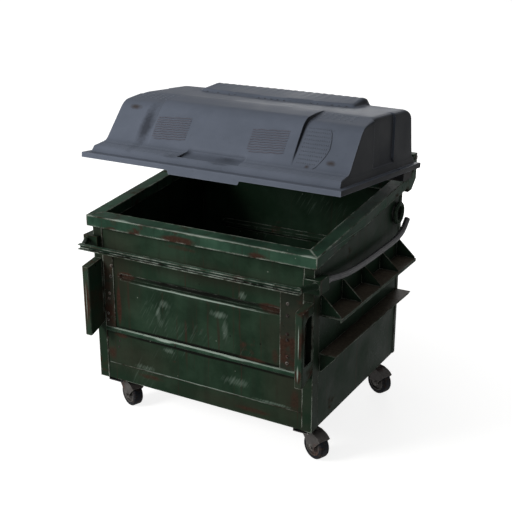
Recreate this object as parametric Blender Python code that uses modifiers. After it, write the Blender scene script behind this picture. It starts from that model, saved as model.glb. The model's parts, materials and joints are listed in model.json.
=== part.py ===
"""Front-loading steel dumpster on four swivel casters, with one wide domed lid.

The tub is sheet steel between four corner angles, under a box-section rim that slopes
down to the front. Fork shelves and guides run along both sides, a fixed lift bar with
round arms crosses the front, and the moulded lid turns on a rod carried by posts that
stand behind the rear rim. Units are metres, +Z is up, the front faces -Y, and the origin
is on the ground below the middle of the whole object.
"""
import math

import bmesh
import bpy
from mathutils import Matrix, Vector

# Driving dimensions of the tub
TUB_WIDTH = 1.83
TUB_DEPTH = 1.52
TUB_LIFT = 0.28
FRONT_RISE = 1.314
REAR_RISE = 1.471
WALL_SHEET = 0.004
FLOOR_SHEET = 0.005
SEAT_GAP = 0.0003
OVERRUN = 0.02
MERGE = 0.00001

# Corner angles
POST_SHEET = 0.005
FRONT_POST_FACE = 0.078
FRONT_POST_SIDE = 0.090
REAR_POST_FACE = 0.060
REAR_POST_SIDE = 0.038

# Box-section rim
RIM_WIDTH = 0.105
RIM_HEIGHT = 0.082
RIM_STANDOUT = 0.031
RIM_WALL = 0.004
MITRE_GAP = 0.0005

# Pressed groove of the front and rear wall, and the bar below it
GROOVE_Z = 0.86
GROOVE_HALF_LENGTH = 0.70
GROOVE_HALF_HEIGHT = 0.028
GROOVE_DEPTH = 0.022
GROOVE_EDGE_SHARE = 1.25
GROOVE_FLAT_SHARE = 0.4
GROOVE_LINE_SHARES = (-1.25, -0.85, -0.4, 0.4, 0.85, 1.25)
GROOVE_END_SHARES = (0.3, -0.2, -0.7, -1.2)
LEDGE_Z = 0.42
LEDGE_HEIGHT = 0.040
LEDGE_STANDOUT = 0.016

# Bolted straps beside the front corner angles, the right one wider
RIGHT_STRAP_WIDTH = 0.178
LEFT_STRAP_WIDTH = 0.088
STRAP_SHEET = 0.005
STRAP_TALL = 0.62

# Front bumper pockets
POCKET_WIDTH = 0.060
POCKET_INSET = 0.002
POCKET_REACH = 0.160
POCKET_SHEET = 0.006
POCKET_BEND = 0.012
POCKET_LOW = 0.410
POCKET_LOW_REAR = 0.465
POCKET_HIGH = 0.955
POCKET_HIGH_REAR = 0.982
SLOT_LOW = 0.560
SLOT_HIGH = 0.905
SLOT_CORNER = 0.072
SLOT_FRONT_MARGIN = 0.032
SLOT_REAR_MARGIN = 0.014

# Fixed lift bar, its arms and lugs
BAR_STANDOFF = 0.195
BAR_DEPTH = 0.030
BAR_HEIGHT = 0.040
BAR_SHEET = 0.006
BAR_INSET = 0.010
BAR_MIDDLE = 1.122
ARM_RADIUS = 0.024
ARM_FRONT_INSET = 0.035
ARM_REAR_OUTSET = 0.030
LUG_STANDOUT = 0.060
LUG_WRAP = 0.065
LUG_NOSE = 0.040
LUG_LENGTH = 0.100
LUG_LOW = 1.058
LUG_HIGH = 1.160

# Bowed side rails and the rings that hold their rear ends
RAIL_RADIUS = 0.023
RAIL_FRONT_Z = 1.110
RAIL_LOW_Z = 1.055
RAIL_END_Z = 1.160
RAIL_END_INSET = 0.025
RAIL_START_SHARE = 0.04
RAIL_ROUTE_SHARES = ((0.20, 0.55), (0.42, 0.93), (0.66, 1.0), (0.82, 0.95), (0.93, 0.45))
RING_INSET = 0.108
RING_Z = 1.222
RING_RADIUS = 0.072
RING_BAR_RADIUS = 0.018

# Fork shelves above and fork guides below
SHELF_SHEET = 0.008
SHELF_TOP = 0.856
SHELF_REACH = 0.155
SHELF_LIP = 0.024
SHELF_FRONT_INSET = 0.105
SHELF_REAR_INSET = 0.042
SHELF_GUSSETS = 5
GUSSET_SHEET = 0.006
GUSSET_TALL = 0.142
GUSSET_TOE = 0.014
GUIDE_TOP = 0.572
GUIDE_REACH = 0.123
GUIDE_GUSSETS = 3

# Hinge posts, rod and arms
HINGE_STANDOFF = 0.134
HINGE_Z = 1.600
HINGE_POST_WIDTH = 0.056
HINGE_POST_SHEET = 0.006
HINGE_POST_BACK = 0.030
HINGE_POST_LOW = 1.355
HINGE_POST_SHOULDER = 1.500
HINGE_POST_TOP = 1.632
HINGE_POST_CHAMFER = 0.075
HINGE_POST_FALL = 0.014
HINGE_NECK = 0.060
MIDDLE_PLATE = 0.014
ROD_RADIUS = 0.012
ROD_HEAD_RADIUS = 0.019
ROD_HEAD = 0.008
ARM_INSET = 0.420
ARM_WIDTH = 0.140
ARM_SHEET = 0.008
ARM_EYE_RADIUS = 0.026
ARM_UPSTAND = 0.030

# Moulded lid, in its own frame with the hinge axis at the origin
LID_TILT = math.radians(5.6)
LID_PLAY = 0.024
LID_OVERHANG = 0.094
LID_FRONT_SETBACK = 0.040
LID_REAR = 0.210
LID_SHEET = 0.006
LIP_TOP = 0.003
LIP_DROP = 0.038
HANDLE_HALF = 0.285
HANDLE_DROP = 0.028
STEP_RISE = 0.042
LINE_GAP = 0.003

# Lid from its front lip to its rear lip
FRONT_LIP = 0.065
FRONT_STEP_RUN = 0.025
APRON_RUN = 0.135
APRON_RISE = 0.026
SLOPE_RUN = 0.185
SLOPE_TOP = 0.325
SHOULDER_RUN = 0.045
SHOULDER = 0.358
BROW_RUN = 0.230
DOME_HEIGHT = 0.405
DOME_REAR_HEIGHT = 0.420
REAR_ROUND = 0.055
REAR_WALL_RUN = 0.055
REAR_LEDGE = 0.023
REAR_LIP = 0.045
STEP_RUN = 0.007
FOOT_RISE = 0.010
ROUND_SHARES = ((0.0, 0.0), (0.7, 0.3), (1.0, 1.0))

# Lid from its side lip to its middle
SIDE_LIP = 0.036
SIDE_LEDGE = 0.006
SIDE_DRAFT = 0.010
SIDE_ROUND = 0.030
SIDE_TOE = 0.035
TOP_CAMBER = 0.030
SIDE_RECESS = 0.014
RECESS_FRONT = 1.020
RECESS_REAR = 0.655
RECESS_DRAFT = 0.006

# Panel raised on the lid's front, the pad sunk below it and the crown at the back
PANEL_MIDDLE = -0.030
PANEL_HALF = 0.590
PANEL_RAISE = 0.024
PANEL_DRAFT = 0.009
PANEL_LENGTH = 0.500
PANEL_SHARES = ((0.0, 0.0), (0.14, 0.55), (0.38, 1.0), (0.5, 1.0), (0.75, 0.6), (1.0, 0.0))
PAD_HALF = 0.240
PAD_DEPTH = 0.014
PAD_DRAFT = 0.012
PAD_START = 0.010
CROWN_HALF = 0.655
CROWN_RAISE = 0.055
CROWN_DRAFT = 0.020
CROWN_LENGTH = 0.340
CROWN_ARCH = 0.120
CROWN_STEP_SHARE = 0.25

# Rubber pads under the lid's side lips
LID_CLOSED_TILT = math.radians(7.4)
BUMPER_LENGTH = 0.160
BUMPER_MIDDLE = 0.45
BUMPER_WIDTH = 0.150
BUMPER_STEM = 0.024
BUMPER_NECK = 0.026
BUMPER_CLEARANCE = 0.003

# Rear stiffeners
STIFFENER_X = 0.42
STIFFENER_WIDTH = 0.080
STIFFENER_DEPTH = 0.040
STIFFENER_SHEET = 0.004
STIFFENER_LOW = 0.06
STIFFENER_HIGH = 0.74

# Caster channels and casters
CHANNEL_INSET = 0.105
CHANNEL_WIDTH = 0.120
CHANNEL_HEIGHT = 0.045
CHANNEL_SHEET = 0.005
CHANNEL_END_INSET = 0.040
CASTER_INSET = 0.185
CASTER_YAW = math.radians(-22)
PLATE_SIZE = 0.114
PLATE_SHEET = 0.008
KINGPIN_RADIUS = 0.010
FORK_HEAD_RADIUS = 0.056
FORK_HEAD_SHEET = 0.010
FORK_HEAD_RISE = 0.012
FORK_NECK_SHARE = 0.72
TRAIL = 0.078
WHEEL_RADIUS = 0.100
WHEEL_WIDTH = 0.078
TYRE_ROUND = 0.014
HUB_RADIUS = 0.070
HUB_BOSS_RADIUS = 0.024
HUB_WIDTH = 0.084
HUB_RECESS = 0.016
HUB_DISH_SHARES = (0.85, 0.90)
LEG_SHEET = 0.007
LEG_HEEL = 0.042
LEG_EYE_RADIUS = 0.030
LEG_CLEARANCE = 0.0015
HOOD_SHEET = 0.004
HOOD_CLEARANCE = 0.006
HOOD_LOW_DEGREES = 38
HOOD_HIGH_DEGREES = 96
HOOD_LEG_DEGREES = 80
AXLE_RADIUS = 0.008
AXLE_END = 0.010

# Places worked out from the driving dimensions
HALF_WIDTH = TUB_WIDTH / 2
HALF_DEPTH = TUB_DEPTH / 2
RIM_X = HALF_WIDTH + RIM_STANDOUT
RIM_Y = HALF_DEPTH + RIM_STANDOUT
RIM_SLOPE = (REAR_RISE - FRONT_RISE) / (2 * RIM_Y)
WALL_X = HALF_WIDTH - POST_SHEET - SEAT_GAP
WALL_Y = HALF_DEPTH - POST_SHEET - SEAT_GAP
BAR_FRONT = HALF_DEPTH + BAR_STANDOFF
BAR_HALF_LENGTH = HALF_WIDTH - BAR_INSET
LUG_OUT = HALF_WIDTH + LUG_STANDOUT
LUG_IN = HALF_WIDTH - LUG_WRAP
LUG_FRONT = HALF_DEPTH + LUG_NOSE
LUG_REAR = HALF_DEPTH - LUG_LENGTH
RAIL_END_Y = HALF_DEPTH - RAIL_END_INSET
RING_Y = HALF_DEPTH - RING_INSET
SHELF_FRONT = HALF_DEPTH - SHELF_FRONT_INSET
SHELF_REAR = HALF_DEPTH - SHELF_REAR_INSET
HINGE_Y = RIM_Y + HINGE_STANDOFF
HINGE_POST_REAR = HINGE_Y + HINGE_POST_BACK
LID_HALF_WIDTH = RIM_X + LID_OVERHANG
LID_FRONT = HINGE_Y + HALF_DEPTH - LID_FRONT_SETBACK
ARM_PLACE = LID_HALF_WIDTH - ARM_INSET
CHANNEL_X = HALF_WIDTH - CHANNEL_INSET
CHANNEL_HALF_LENGTH = HALF_DEPTH - CHANNEL_END_INSET
CASTER_Y = HALF_DEPTH - CASTER_INSET

BODY_GREEN = '#2c4033'
RIM_GREEN = '#45625a'
RUSTED_STEEL = '#4b3b36'
BARE_STEEL = '#3c3b3d'
LID_GREY = '#565c66'
BLACK_RUBBER = '#141518'
ZINC = '#55555a'
WHEEL_BLUE = '#1c222e'

PLANES = {
    'XY': Matrix.Identity(4),
    'XZ': Matrix(((1, 0, 0, 0), (0, 0, -1, 0), (0, 1, 0, 0), (0, 0, 0, 1))),
    'YZ': Matrix(((0, 0, 1, 0), (1, 0, 0, 0), (0, 1, 0, 0), (0, 0, 0, 1))),
}


def rim_top(y):
    """Height of the sloping rim's top face at depth y."""
    return TUB_LIFT + FRONT_RISE + RIM_SLOPE * (y + RIM_Y)


def rim_under(y):
    """Height of the rim's underside at depth y."""
    return rim_top(y) - RIM_HEIGHT


def clear_scene():
    """Remove what the scene holds and make the two collections."""
    for old in list(bpy.data.objects):
        bpy.data.objects.remove(old, do_unlink=True)
    parts = bpy.data.collections.new('dumpster')
    cutters = bpy.data.collections.new('cutters')
    bpy.context.scene.collection.children.link(parts)
    bpy.context.scene.collection.children.link(cutters)
    return parts, cutters


PARTS, CUTTERS = clear_scene()


def linear(channel):
    """One sRGB channel, 0 to 1, as linear light."""
    if channel <= 0.04045:
        return channel / 12.92
    return ((channel + 0.055) / 1.055) ** 2.4


def finish(piece, colour, roughness, metallic=0.0):
    """Give a piece a Principled material of its own and put it among the parts."""
    material = bpy.data.materials.new(piece.name)
    material.use_nodes = True
    shader = material.node_tree.nodes['Principled BSDF']
    levels = [linear(int(colour[i:i + 2], 16) / 255) for i in (1, 3, 5)]
    shader.inputs['Base Color'].default_value = (*levels, 1.0)
    shader.inputs['Roughness'].default_value = roughness
    shader.inputs['Metallic'].default_value = metallic
    piece.data.materials.append(material)
    PARTS.objects.link(piece)
    return piece


def as_cutter(piece):
    """Put a piece among the cutters, where it is not a part."""
    CUTTERS.objects.link(piece)
    piece.hide_render = True
    piece.display_type = 'WIRE'
    return piece


def combine(target, tool, operation):
    """Cut the target with a tool, or join the tool to it."""
    as_cutter(tool)
    change = target.modifiers.new(operation.lower(), 'BOOLEAN')
    change.operation = operation
    change.object = tool
    change.solver = 'EXACT'
    return target


def mesh_of(curve, name):
    """Turn a curve into a welded mesh with its faces outwards."""
    guide = bpy.data.objects.new(name, curve)
    bpy.context.scene.collection.objects.link(guide)
    bpy.context.view_layer.update()
    evaluated = guide.evaluated_get(bpy.context.evaluated_depsgraph_get())
    mesh = bpy.data.meshes.new_from_object(evaluated)
    bpy.data.objects.remove(guide, do_unlink=True)
    bm = bmesh.new()
    bm.from_mesh(mesh)
    bmesh.ops.remove_doubles(bm, verts=bm.verts, dist=MERGE)
    bmesh.ops.recalc_face_normals(bm, faces=bm.faces)
    bm.to_mesh(mesh)
    bm.free()
    mesh.name = name
    return mesh


def plate(name, outline, thickness, plane='XY', at=0.0, holes=()):
    """A flat outline, with holes, as a plate centred at the distance `at` off its plane."""
    curve = bpy.data.curves.new(name, 'CURVE')
    curve.dimensions = '2D'
    curve.fill_mode = 'BOTH'
    curve.extrude = thickness / 2
    for loop in (outline, *holes):
        spline = curve.splines.new('POLY')
        spline.points.add(len(loop) - 1)
        for point, (u, v) in zip(spline.points, loop):
            point.co = (u, v, 0, 1)
        spline.use_cyclic_u = True
    piece = bpy.data.objects.new(name, mesh_of(curve, name))
    turn = PLANES[plane]
    piece.matrix_world = Matrix.Translation(turn.to_3x3() @ Vector((0, 0, 1)) * at) @ turn
    return piece


def cuboid(name, low, high):
    """A box between two corners, as an object placed at its middle."""
    bm = bmesh.new()
    bmesh.ops.create_cube(bm, size=1)
    size = [abs(b - a) for a, b in zip(low, high)]
    bmesh.ops.scale(bm, vec=size, verts=bm.verts)
    mesh = bpy.data.meshes.new(name)
    bm.to_mesh(mesh)
    bm.free()
    piece = bpy.data.objects.new(name, mesh)
    piece.location = [(a + b) / 2 for a, b in zip(low, high)]
    return piece


def cylinder(name, radius, length, segments=24):
    """A cylinder along Z, centred on the origin."""
    bm = bmesh.new()
    bmesh.ops.create_cone(bm, cap_ends=True, segments=segments, radius1=radius,
                          radius2=radius, depth=length)
    mesh = bpy.data.meshes.new(name)
    bm.to_mesh(mesh)
    bm.free()
    smooth(mesh)
    return bpy.data.objects.new(name, mesh)


def smooth(mesh):
    """Shade round faces smooth and keep corners sharp."""
    mesh.shade_smooth()
    mesh.set_sharp_from_angle(angle=math.radians(35))


def turned(name, profile, closed=False, segments=32):
    """A profile of radius and height, turned about Z. It runs down its outer side."""
    mesh = bpy.data.meshes.new(name)
    count = len(profile)
    edges = [(i, i + 1) for i in range(count - 1)]
    if closed:
        edges.append((count - 1, 0))
    mesh.from_pydata([(radius, 0, height) for radius, height in profile], edges, [])
    piece = bpy.data.objects.new(name, mesh)
    screw = piece.modifiers.new('turn', 'SCREW')
    screw.steps = segments
    screw.render_steps = segments
    screw.use_merge_vertices = True
    screw.merge_threshold = MERGE
    screw.use_smooth_shade = True
    return piece


def circle(middle_u, middle_v, radius, count=20):
    """Points of a circle, for a hole in a plate."""
    return [(middle_u + radius * math.cos(2 * math.pi * i / count),
             middle_v + radius * math.sin(2 * math.pi * i / count)) for i in range(count)]


def arc(middle_u, middle_v, radius, start, stop, count):
    """Points along an arc between two angles in degrees."""
    steps = [math.radians(start + (stop - start) * i / count) for i in range(count + 1)]
    return [(middle_u + radius * math.cos(a), middle_v + radius * math.sin(a)) for a in steps]


def flip_x(outline, side):
    """An outline in X and another axis, on the right (+1) or left (-1) side."""
    return [(side * u, v) for u, v in outline]


def side_name(side):
    """The name of the side of the object, seen from its front."""
    return 'right' if side > 0 else 'left'


def pressed_wall(name, top):
    """A wall sheet with one long groove pressed inwards, from an open grid."""
    x_right = [WALL_X, *[GROOVE_HALF_LENGTH + GROOVE_HALF_HEIGHT * share for share in GROOVE_END_SHARES]]
    x_lines = [-x for x in x_right] + [0.0] + list(reversed(x_right))
    groove = TUB_LIFT + GROOVE_Z
    z_lines = [TUB_LIFT, *[groove + GROOVE_HALF_HEIGHT * share for share in GROOVE_LINE_SHARES], top]
    slope = GROOVE_EDGE_SHARE - GROOVE_FLAT_SHARE
    bm = bmesh.new()
    columns = len(x_lines) - 1
    rows = len(z_lines) - 1
    bmesh.ops.create_grid(bm, x_segments=columns, y_segments=rows, size=1)
    for vert in bm.verts:
        x = x_lines[round((vert.co.x + 1) / 2 * columns)]
        z = z_lines[round((vert.co.y + 1) / 2 * rows)]
        beyond = max(abs(x) - (GROOVE_HALF_LENGTH - GROOVE_HALF_HEIGHT), 0)
        away = math.hypot(beyond, z - groove) / GROOVE_HALF_HEIGHT
        depth = GROOVE_DEPTH * min(max(GROOVE_EDGE_SHARE - away, 0) / slope, 1)
        vert.co = (x, depth, z)
    mesh = bpy.data.meshes.new(name)
    bm.to_mesh(mesh)
    bm.free()
    wall = bpy.data.objects.new(name, mesh)
    wall.location = (0, -WALL_Y, 0)
    sheet = wall.modifiers.new('sheet', 'SOLIDIFY')
    sheet.thickness = WALL_SHEET
    sheet.offset = -1
    return wall


def build_walls():
    """Front and rear wall with their grooves, the two side walls and the floor."""
    front = pressed_wall('front_wall', rim_under(-WALL_Y) - SEAT_GAP)
    finish(front, BODY_GREEN, 0.55, 0.2)
    rear = pressed_wall('rear_wall', rim_under(WALL_Y - WALL_SHEET) - SEAT_GAP)
    rear.location = (0, WALL_Y, 0)
    rear.rotation_euler = (0, 0, math.pi)
    finish(rear, BODY_GREEN, 0.55, 0.2)
    reach = WALL_Y - WALL_SHEET - SEAT_GAP
    outline = [(-reach, TUB_LIFT), (reach, TUB_LIFT), (reach, rim_under(reach) - SEAT_GAP),
               (-reach, rim_under(-reach) - SEAT_GAP)]
    for side in (1, -1):
        wall = plate(side_name(side) + '_wall', outline, WALL_SHEET, 'YZ',
                     side * (WALL_X - WALL_SHEET / 2))
        finish(wall, BODY_GREEN, 0.55, 0.2)
    x = WALL_X - WALL_SHEET - SEAT_GAP
    floor = cuboid('floor_pan', (-x, -reach, TUB_LIFT), (x, reach, TUB_LIFT + FLOOR_SHEET))
    finish(floor, RUSTED_STEEL, 0.75, 0.3)


def corner_angle(name, side, end, face, flank):
    """One corner angle: an L outline raised to the sloping underside of the rim."""
    x = side * HALF_WIDTH
    y = end * HALF_DEPTH
    outline = [(x, y), (x - side * face, y), (x - side * face, y - end * POST_SHEET),
               (x - side * POST_SHEET, y - end * POST_SHEET),
               (x - side * POST_SHEET, y - end * flank), (x, y - end * flank)]
    post = plate(name, outline, FRONT_RISE, 'XY')
    for vert in post.data.vertices:
        if vert.co.z > 0:
            vert.co.z = rim_under(vert.co.y) - SEAT_GAP
        else:
            vert.co.z = TUB_LIFT
    finish(post, BODY_GREEN, 0.5, 0.2)


def build_posts():
    """Four corner angles."""
    for side in (1, -1):
        corner_angle('front_' + side_name(side) + '_post', side, -1, FRONT_POST_FACE, FRONT_POST_SIDE)
        corner_angle('rear_' + side_name(side) + '_post', side, 1, REAR_POST_FACE, REAR_POST_SIDE)


def rim_member(name, outline, bore):
    """A mitred box tube of the rim, sloping as the rim does."""
    slope = Matrix(((1, 0, 0, 0), (0, 1, 0, 0), (0, RIM_SLOPE, 1, 0), (0, 0, 0, 1)))
    lift = Matrix.Translation((0, 0, rim_top(0) - RIM_HEIGHT / 2))
    tube = plate(name, outline, RIM_HEIGHT, 'XY')
    hollow = plate(name + '_bore', bore, RIM_HEIGHT - 2 * RIM_WALL, 'XY')
    for piece in (tube, hollow):
        piece.data.transform(lift @ slope)
    combine(tube, hollow, 'DIFFERENCE')
    finish(tube, RIM_GREEN, 0.45, 0.2)


def build_rim():
    """Front, rear and side tubes of the rim, mitred at the corners."""
    inner_x = RIM_X - RIM_WIDTH
    inner_y = RIM_Y - RIM_WIDTH
    for name, end in (('front_rim', -1), ('rear_rim', 1)):
        outline = [(-RIM_X + MITRE_GAP, end * RIM_Y), (RIM_X - MITRE_GAP, end * RIM_Y),
                   (inner_x - MITRE_GAP, end * inner_y), (-inner_x + MITRE_GAP, end * inner_y)]
        long_x = RIM_X + OVERRUN
        outer = end * (RIM_Y - RIM_WALL)
        inner = end * (inner_y + RIM_WALL)
        rim_member(name, outline, [(-long_x, outer), (long_x, outer), (long_x, inner), (-long_x, inner)])
    for side in (1, -1):
        outline = [(side * RIM_X, -RIM_Y), (side * RIM_X, RIM_Y), (side * inner_x, inner_y),
                   (side * inner_x, -inner_y)]
        long_y = RIM_Y + OVERRUN
        outer = side * (RIM_X - RIM_WALL)
        inner = side * (inner_x + RIM_WALL)
        rim_member(side_name(side) + '_rim', outline,
                   [(outer, -long_y), (outer, long_y), (inner, long_y), (inner, -long_y)])


def build_front_fittings():
    """Ledge bar, bolted straps and the two bumper pockets."""
    face = -WALL_Y - SEAT_GAP
    ledge_z = TUB_LIFT + LEDGE_Z
    post_edge = HALF_WIDTH - FRONT_POST_FACE - SEAT_GAP
    bead = [(face - LEDGE_STANDOUT * u, ledge_z + LEDGE_HEIGHT / 2 * v) for u, v in arc(0, 0, 1, -90, 90, 8)]
    finish(plate('front_ledge', bead, 2 * post_edge, 'YZ'), BODY_GREEN, 0.5, 0.2)
    strap_low = ledge_z + LEDGE_HEIGHT / 2 + SEAT_GAP
    for side, width in ((1, RIGHT_STRAP_WIDTH), (-1, LEFT_STRAP_WIDTH)):
        strap = cuboid('front_' + side_name(side) + '_strap',
                       (side * (post_edge - width), face - STRAP_SHEET, strap_low),
                       (side * post_edge, face, strap_low + STRAP_TALL))
        finish(strap, BODY_GREEN, 0.5, 0.2)
        build_pocket(side)


def bent_column(name, middle, width, front, back, bend):
    """A tall block over a bumper pocket's plan, with its two front corners rounded."""
    low = middle - width / 2 + bend
    high = middle + width / 2 - bend
    plan = [*arc(low, front + bend, bend, 180, 270, 4), *arc(high, front + bend, bend, 270, 360, 4),
            (high + bend, back), (low - bend, back)]
    return plate(name, plan, FRONT_RISE, 'XY', TUB_LIFT + FRONT_RISE / 2)


def build_pocket(side):
    """A bumper pocket: a bent sheet box, open at its back, with a slot on its outer side."""
    back = -HALF_DEPTH - SEAT_GAP
    front = -HALF_DEPTH - POCKET_REACH
    open_back = back + OVERRUN
    middle = side * (HALF_WIDTH - POCKET_INSET - POCKET_WIDTH / 2)
    t = POCKET_SHEET
    z = TUB_LIFT
    shape = [(back, z + POCKET_LOW_REAR), (back, z + POCKET_HIGH_REAR), (front, z + POCKET_HIGH),
             (front, z + POCKET_LOW)]
    name = 'front_' + side_name(side) + '_pocket'
    pocket = plate(name, shape, POCKET_WIDTH, 'YZ', middle)
    combine(pocket, bent_column(name + '_outside', middle, POCKET_WIDTH, front, open_back, POCKET_BEND),
            'INTERSECT')
    hollow = [(open_back, z + POCKET_LOW_REAR + t), (open_back, z + POCKET_HIGH_REAR - t),
              (front + t, z + POCKET_HIGH - t), (front + t, z + POCKET_LOW + t)]
    inside = plate(name + '_inside', hollow, POCKET_WIDTH - 2 * t, 'YZ', middle)
    combine(inside, bent_column(name + '_bend', middle, POCKET_WIDTH - 2 * t, front + t, open_back + OVERRUN,
                                POCKET_BEND - t), 'INTERSECT')
    combine(pocket, inside, 'DIFFERENCE')
    slot_front = front + SLOT_FRONT_MARGIN
    slot_rear = back - SLOT_REAR_MARGIN
    slot = [(slot_rear, z + SLOT_LOW), (slot_rear, z + SLOT_HIGH),
            *arc(slot_front + SLOT_CORNER, z + SLOT_HIGH - SLOT_CORNER, SLOT_CORNER, 90, 180, 6),
            (slot_front, z + SLOT_LOW)]
    combine(pocket, plate(name + '_slot', slot, POCKET_WIDTH, 'YZ', middle + side * POCKET_WIDTH / 2),
            'DIFFERENCE')
    finish(pocket, RUSTED_STEEL, 0.6, 0.3)


def build_lift_bar():
    """The channel across the front, and its lugs with their round arms."""
    rear = -BAR_FRONT + BAR_DEPTH
    low = TUB_LIFT + BAR_MIDDLE - BAR_HEIGHT / 2
    high = low + BAR_HEIGHT
    web = rear - BAR_SHEET
    section = [(rear, low), (rear, high), (-BAR_FRONT, high), (-BAR_FRONT, high - BAR_SHEET),
               (web, high - BAR_SHEET), (web, low + BAR_SHEET), (-BAR_FRONT, low + BAR_SHEET), (-BAR_FRONT, low)]
    bar = plate('front_lift_bar', section, 2 * BAR_HALF_LENGTH, 'YZ')
    finish(bar, RIM_GREEN, 0.4, 0.3)
    lug_height = LUG_HIGH - LUG_LOW
    lug_middle = TUB_LIFT + (LUG_HIGH + LUG_LOW) / 2
    inner_x = HALF_WIDTH + SEAT_GAP
    inner_y = -HALF_DEPTH - SEAT_GAP
    outline = [(LUG_IN, -LUG_FRONT), (LUG_OUT, -LUG_FRONT), (LUG_OUT, -LUG_REAR), (inner_x, -LUG_REAR),
               (inner_x, inner_y), (LUG_IN, inner_y)]
    start = rear + SEAT_GAP
    length = -LUG_FRONT + OVERRUN / 2 - start
    lean = (ARM_REAR_OUTSET + ARM_FRONT_INSET) / (-LUG_FRONT - start)
    for side in (1, -1):
        name = side_name(side) + '_lift_lug'
        lug = plate(name, flip_x(outline, side), lug_height, 'XY', lug_middle)
        arm = cylinder(name + '_arm', ARM_RADIUS, length, 20)
        lean_out = Matrix(((1, side * lean, 0, 0), (0, 1, 0, 0), (0, 0, 1, 0), (0, 0, 0, 1)))
        arm.data.transform(lean_out @ Matrix.Translation((0, length / 2, 0)) @ PLANES['XZ'])
        arm.location = (side * (HALF_WIDTH - ARM_FRONT_INSET), start, TUB_LIFT + BAR_MIDDLE)
        combine(lug, arm, 'UNION')
        finish(lug, BODY_GREEN, 0.45, 0.3)


def smooth_route(points, steps):
    """Points along a smooth curve through the given ones."""
    route = []
    ends = [points[0], *points, points[-1]]
    for before, start, stop, after in zip(ends, ends[1:], ends[2:], ends[3:]):
        for i in range(steps):
            t = i / steps
            route.append(0.5 * (2 * start + (stop - before) * t
                                + (2 * before - 5 * start + 4 * stop - after) * t * t
                                + (3 * start - before - 3 * stop + after) * t ** 3))
    route.append(points[-1])
    return route


def tube(name, points, radius, cyclic=False):
    """A round bar along points, as a curve object with its ends closed."""
    curve = bpy.data.curves.new(name, 'CURVE')
    curve.dimensions = '3D'
    curve.bevel_depth = radius
    curve.bevel_resolution = 3
    curve.use_fill_caps = not cyclic
    spline = curve.splines.new('POLY')
    spline.points.add(len(points) - 1)
    for point, place in zip(spline.points, points):
        point.co = (*place, 1)
    spline.use_cyclic_u = cyclic
    return bpy.data.objects.new(name, curve)


def build_side_rails():
    """The bowed bar on each side, from the lift lug to the ring near the rear corner."""
    z = TUB_LIFT
    out = HALF_WIDTH + 2 * RING_BAR_RADIUS + 2 * SEAT_GAP + RAIL_RADIUS
    front = -LUG_REAR + SEAT_GAP
    lug_x = LUG_OUT - RAIL_RADIUS
    span = RAIL_END_Y - front
    dip = RAIL_FRONT_Z - RAIL_LOW_Z
    start = (lug_x, front, z + RAIL_FRONT_Z)
    route = [(lug_x, front + RAIL_START_SHARE * span, z + RAIL_FRONT_Z)]
    route += [(out, front + far * span, z + RAIL_FRONT_Z - low * dip) for far, low in RAIL_ROUTE_SHARES]
    route.append((out, RAIL_END_Y, z + RAIL_END_Z))
    ring_x = HALF_WIDTH + SEAT_GAP + RING_BAR_RADIUS
    count = 24
    for side in (1, -1):
        path = smooth_route([Vector((side * x, y, height)) for x, y, height in route], 3)
        path.insert(0, Vector((side * start[0], *start[1:])))
        finish(tube(side_name(side) + '_side_rail', path, RAIL_RADIUS), BARE_STEEL, 0.5, 0.7)
        loop = [Vector((side * ring_x, RING_Y + RING_RADIUS * math.cos(2 * math.pi * i / count),
                        z + RING_Z + RING_RADIUS * math.sin(2 * math.pi * i / count))) for i in range(count)]
        finish(tube(side_name(side) + '_rail_ring', loop, RING_BAR_RADIUS, True), BODY_GREEN, 0.5, 0.3)


def gusset_row(shelf, name, outline, side, first, last, count):
    """Join a row of equal gussets to a shelf."""
    for i in range(count):
        y = first + (last - first) * i / (count - 1)
        combine(shelf, plate(f'{name}_gusset_{i}', flip_x(outline, side), GUSSET_SHEET, 'XZ', -y), 'UNION')


def build_fork_shelves():
    """The lifting shelf with its gussets above, and the guide with its gussets below."""
    wall = WALL_X + SEAT_GAP
    front = -SHELF_FRONT
    rear = SHELF_REAR
    inset = GUSSET_SHEET / 2
    for side in (1, -1):
        top = TUB_LIFT + SHELF_TOP
        out = HALF_WIDTH + SHELF_REACH
        section = [(wall, top), (out, top), (out, top - SHELF_LIP), (out - SHELF_SHEET, top - SHELF_LIP),
                   (out - SHELF_SHEET, top - SHELF_SHEET), (wall, top - SHELF_SHEET)]
        name = side_name(side) + '_fork_shelf'
        shelf = plate(name, flip_x(section, side), rear - front, 'XZ', -(front + rear) / 2)
        sunk = top - SHELF_SHEET / 2
        toe = out - SHELF_SHEET
        gusset = [(wall, sunk), (toe, sunk), (toe, top + GUSSET_TOE), (wall + GUSSET_TOE, top + GUSSET_TALL),
                  (wall, top + GUSSET_TALL)]
        gusset_row(shelf, name, gusset, side, front + inset + SHELF_SHEET, rear - inset - SHELF_SHEET,
                   SHELF_GUSSETS)
        finish(shelf, BODY_GREEN, 0.55, 0.2)
        top = TUB_LIFT + GUIDE_TOP
        out = HALF_WIDTH + GUIDE_REACH
        section = [(wall, top), (out, top), (out, top - SHELF_SHEET), (wall, top - SHELF_SHEET)]
        name = side_name(side) + '_fork_guide'
        guide = plate(name, flip_x(section, side), rear - front, 'XZ', -(front + rear) / 2)
        sunk = top - SHELF_SHEET / 2
        toe = out - SHELF_SHEET
        low = top - GUSSET_TALL
        gusset = [(wall, sunk), (toe, sunk), (toe, top - SHELF_SHEET - GUSSET_TOE), (wall + GUSSET_TOE, low),
                  (wall, low)]
        gusset_row(guide, name, gusset, side, front + inset + SHELF_SHEET, rear - inset - SHELF_SHEET,
                   GUIDE_GUSSETS)
        finish(guide, BODY_GREEN, 0.55, 0.2)


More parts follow.
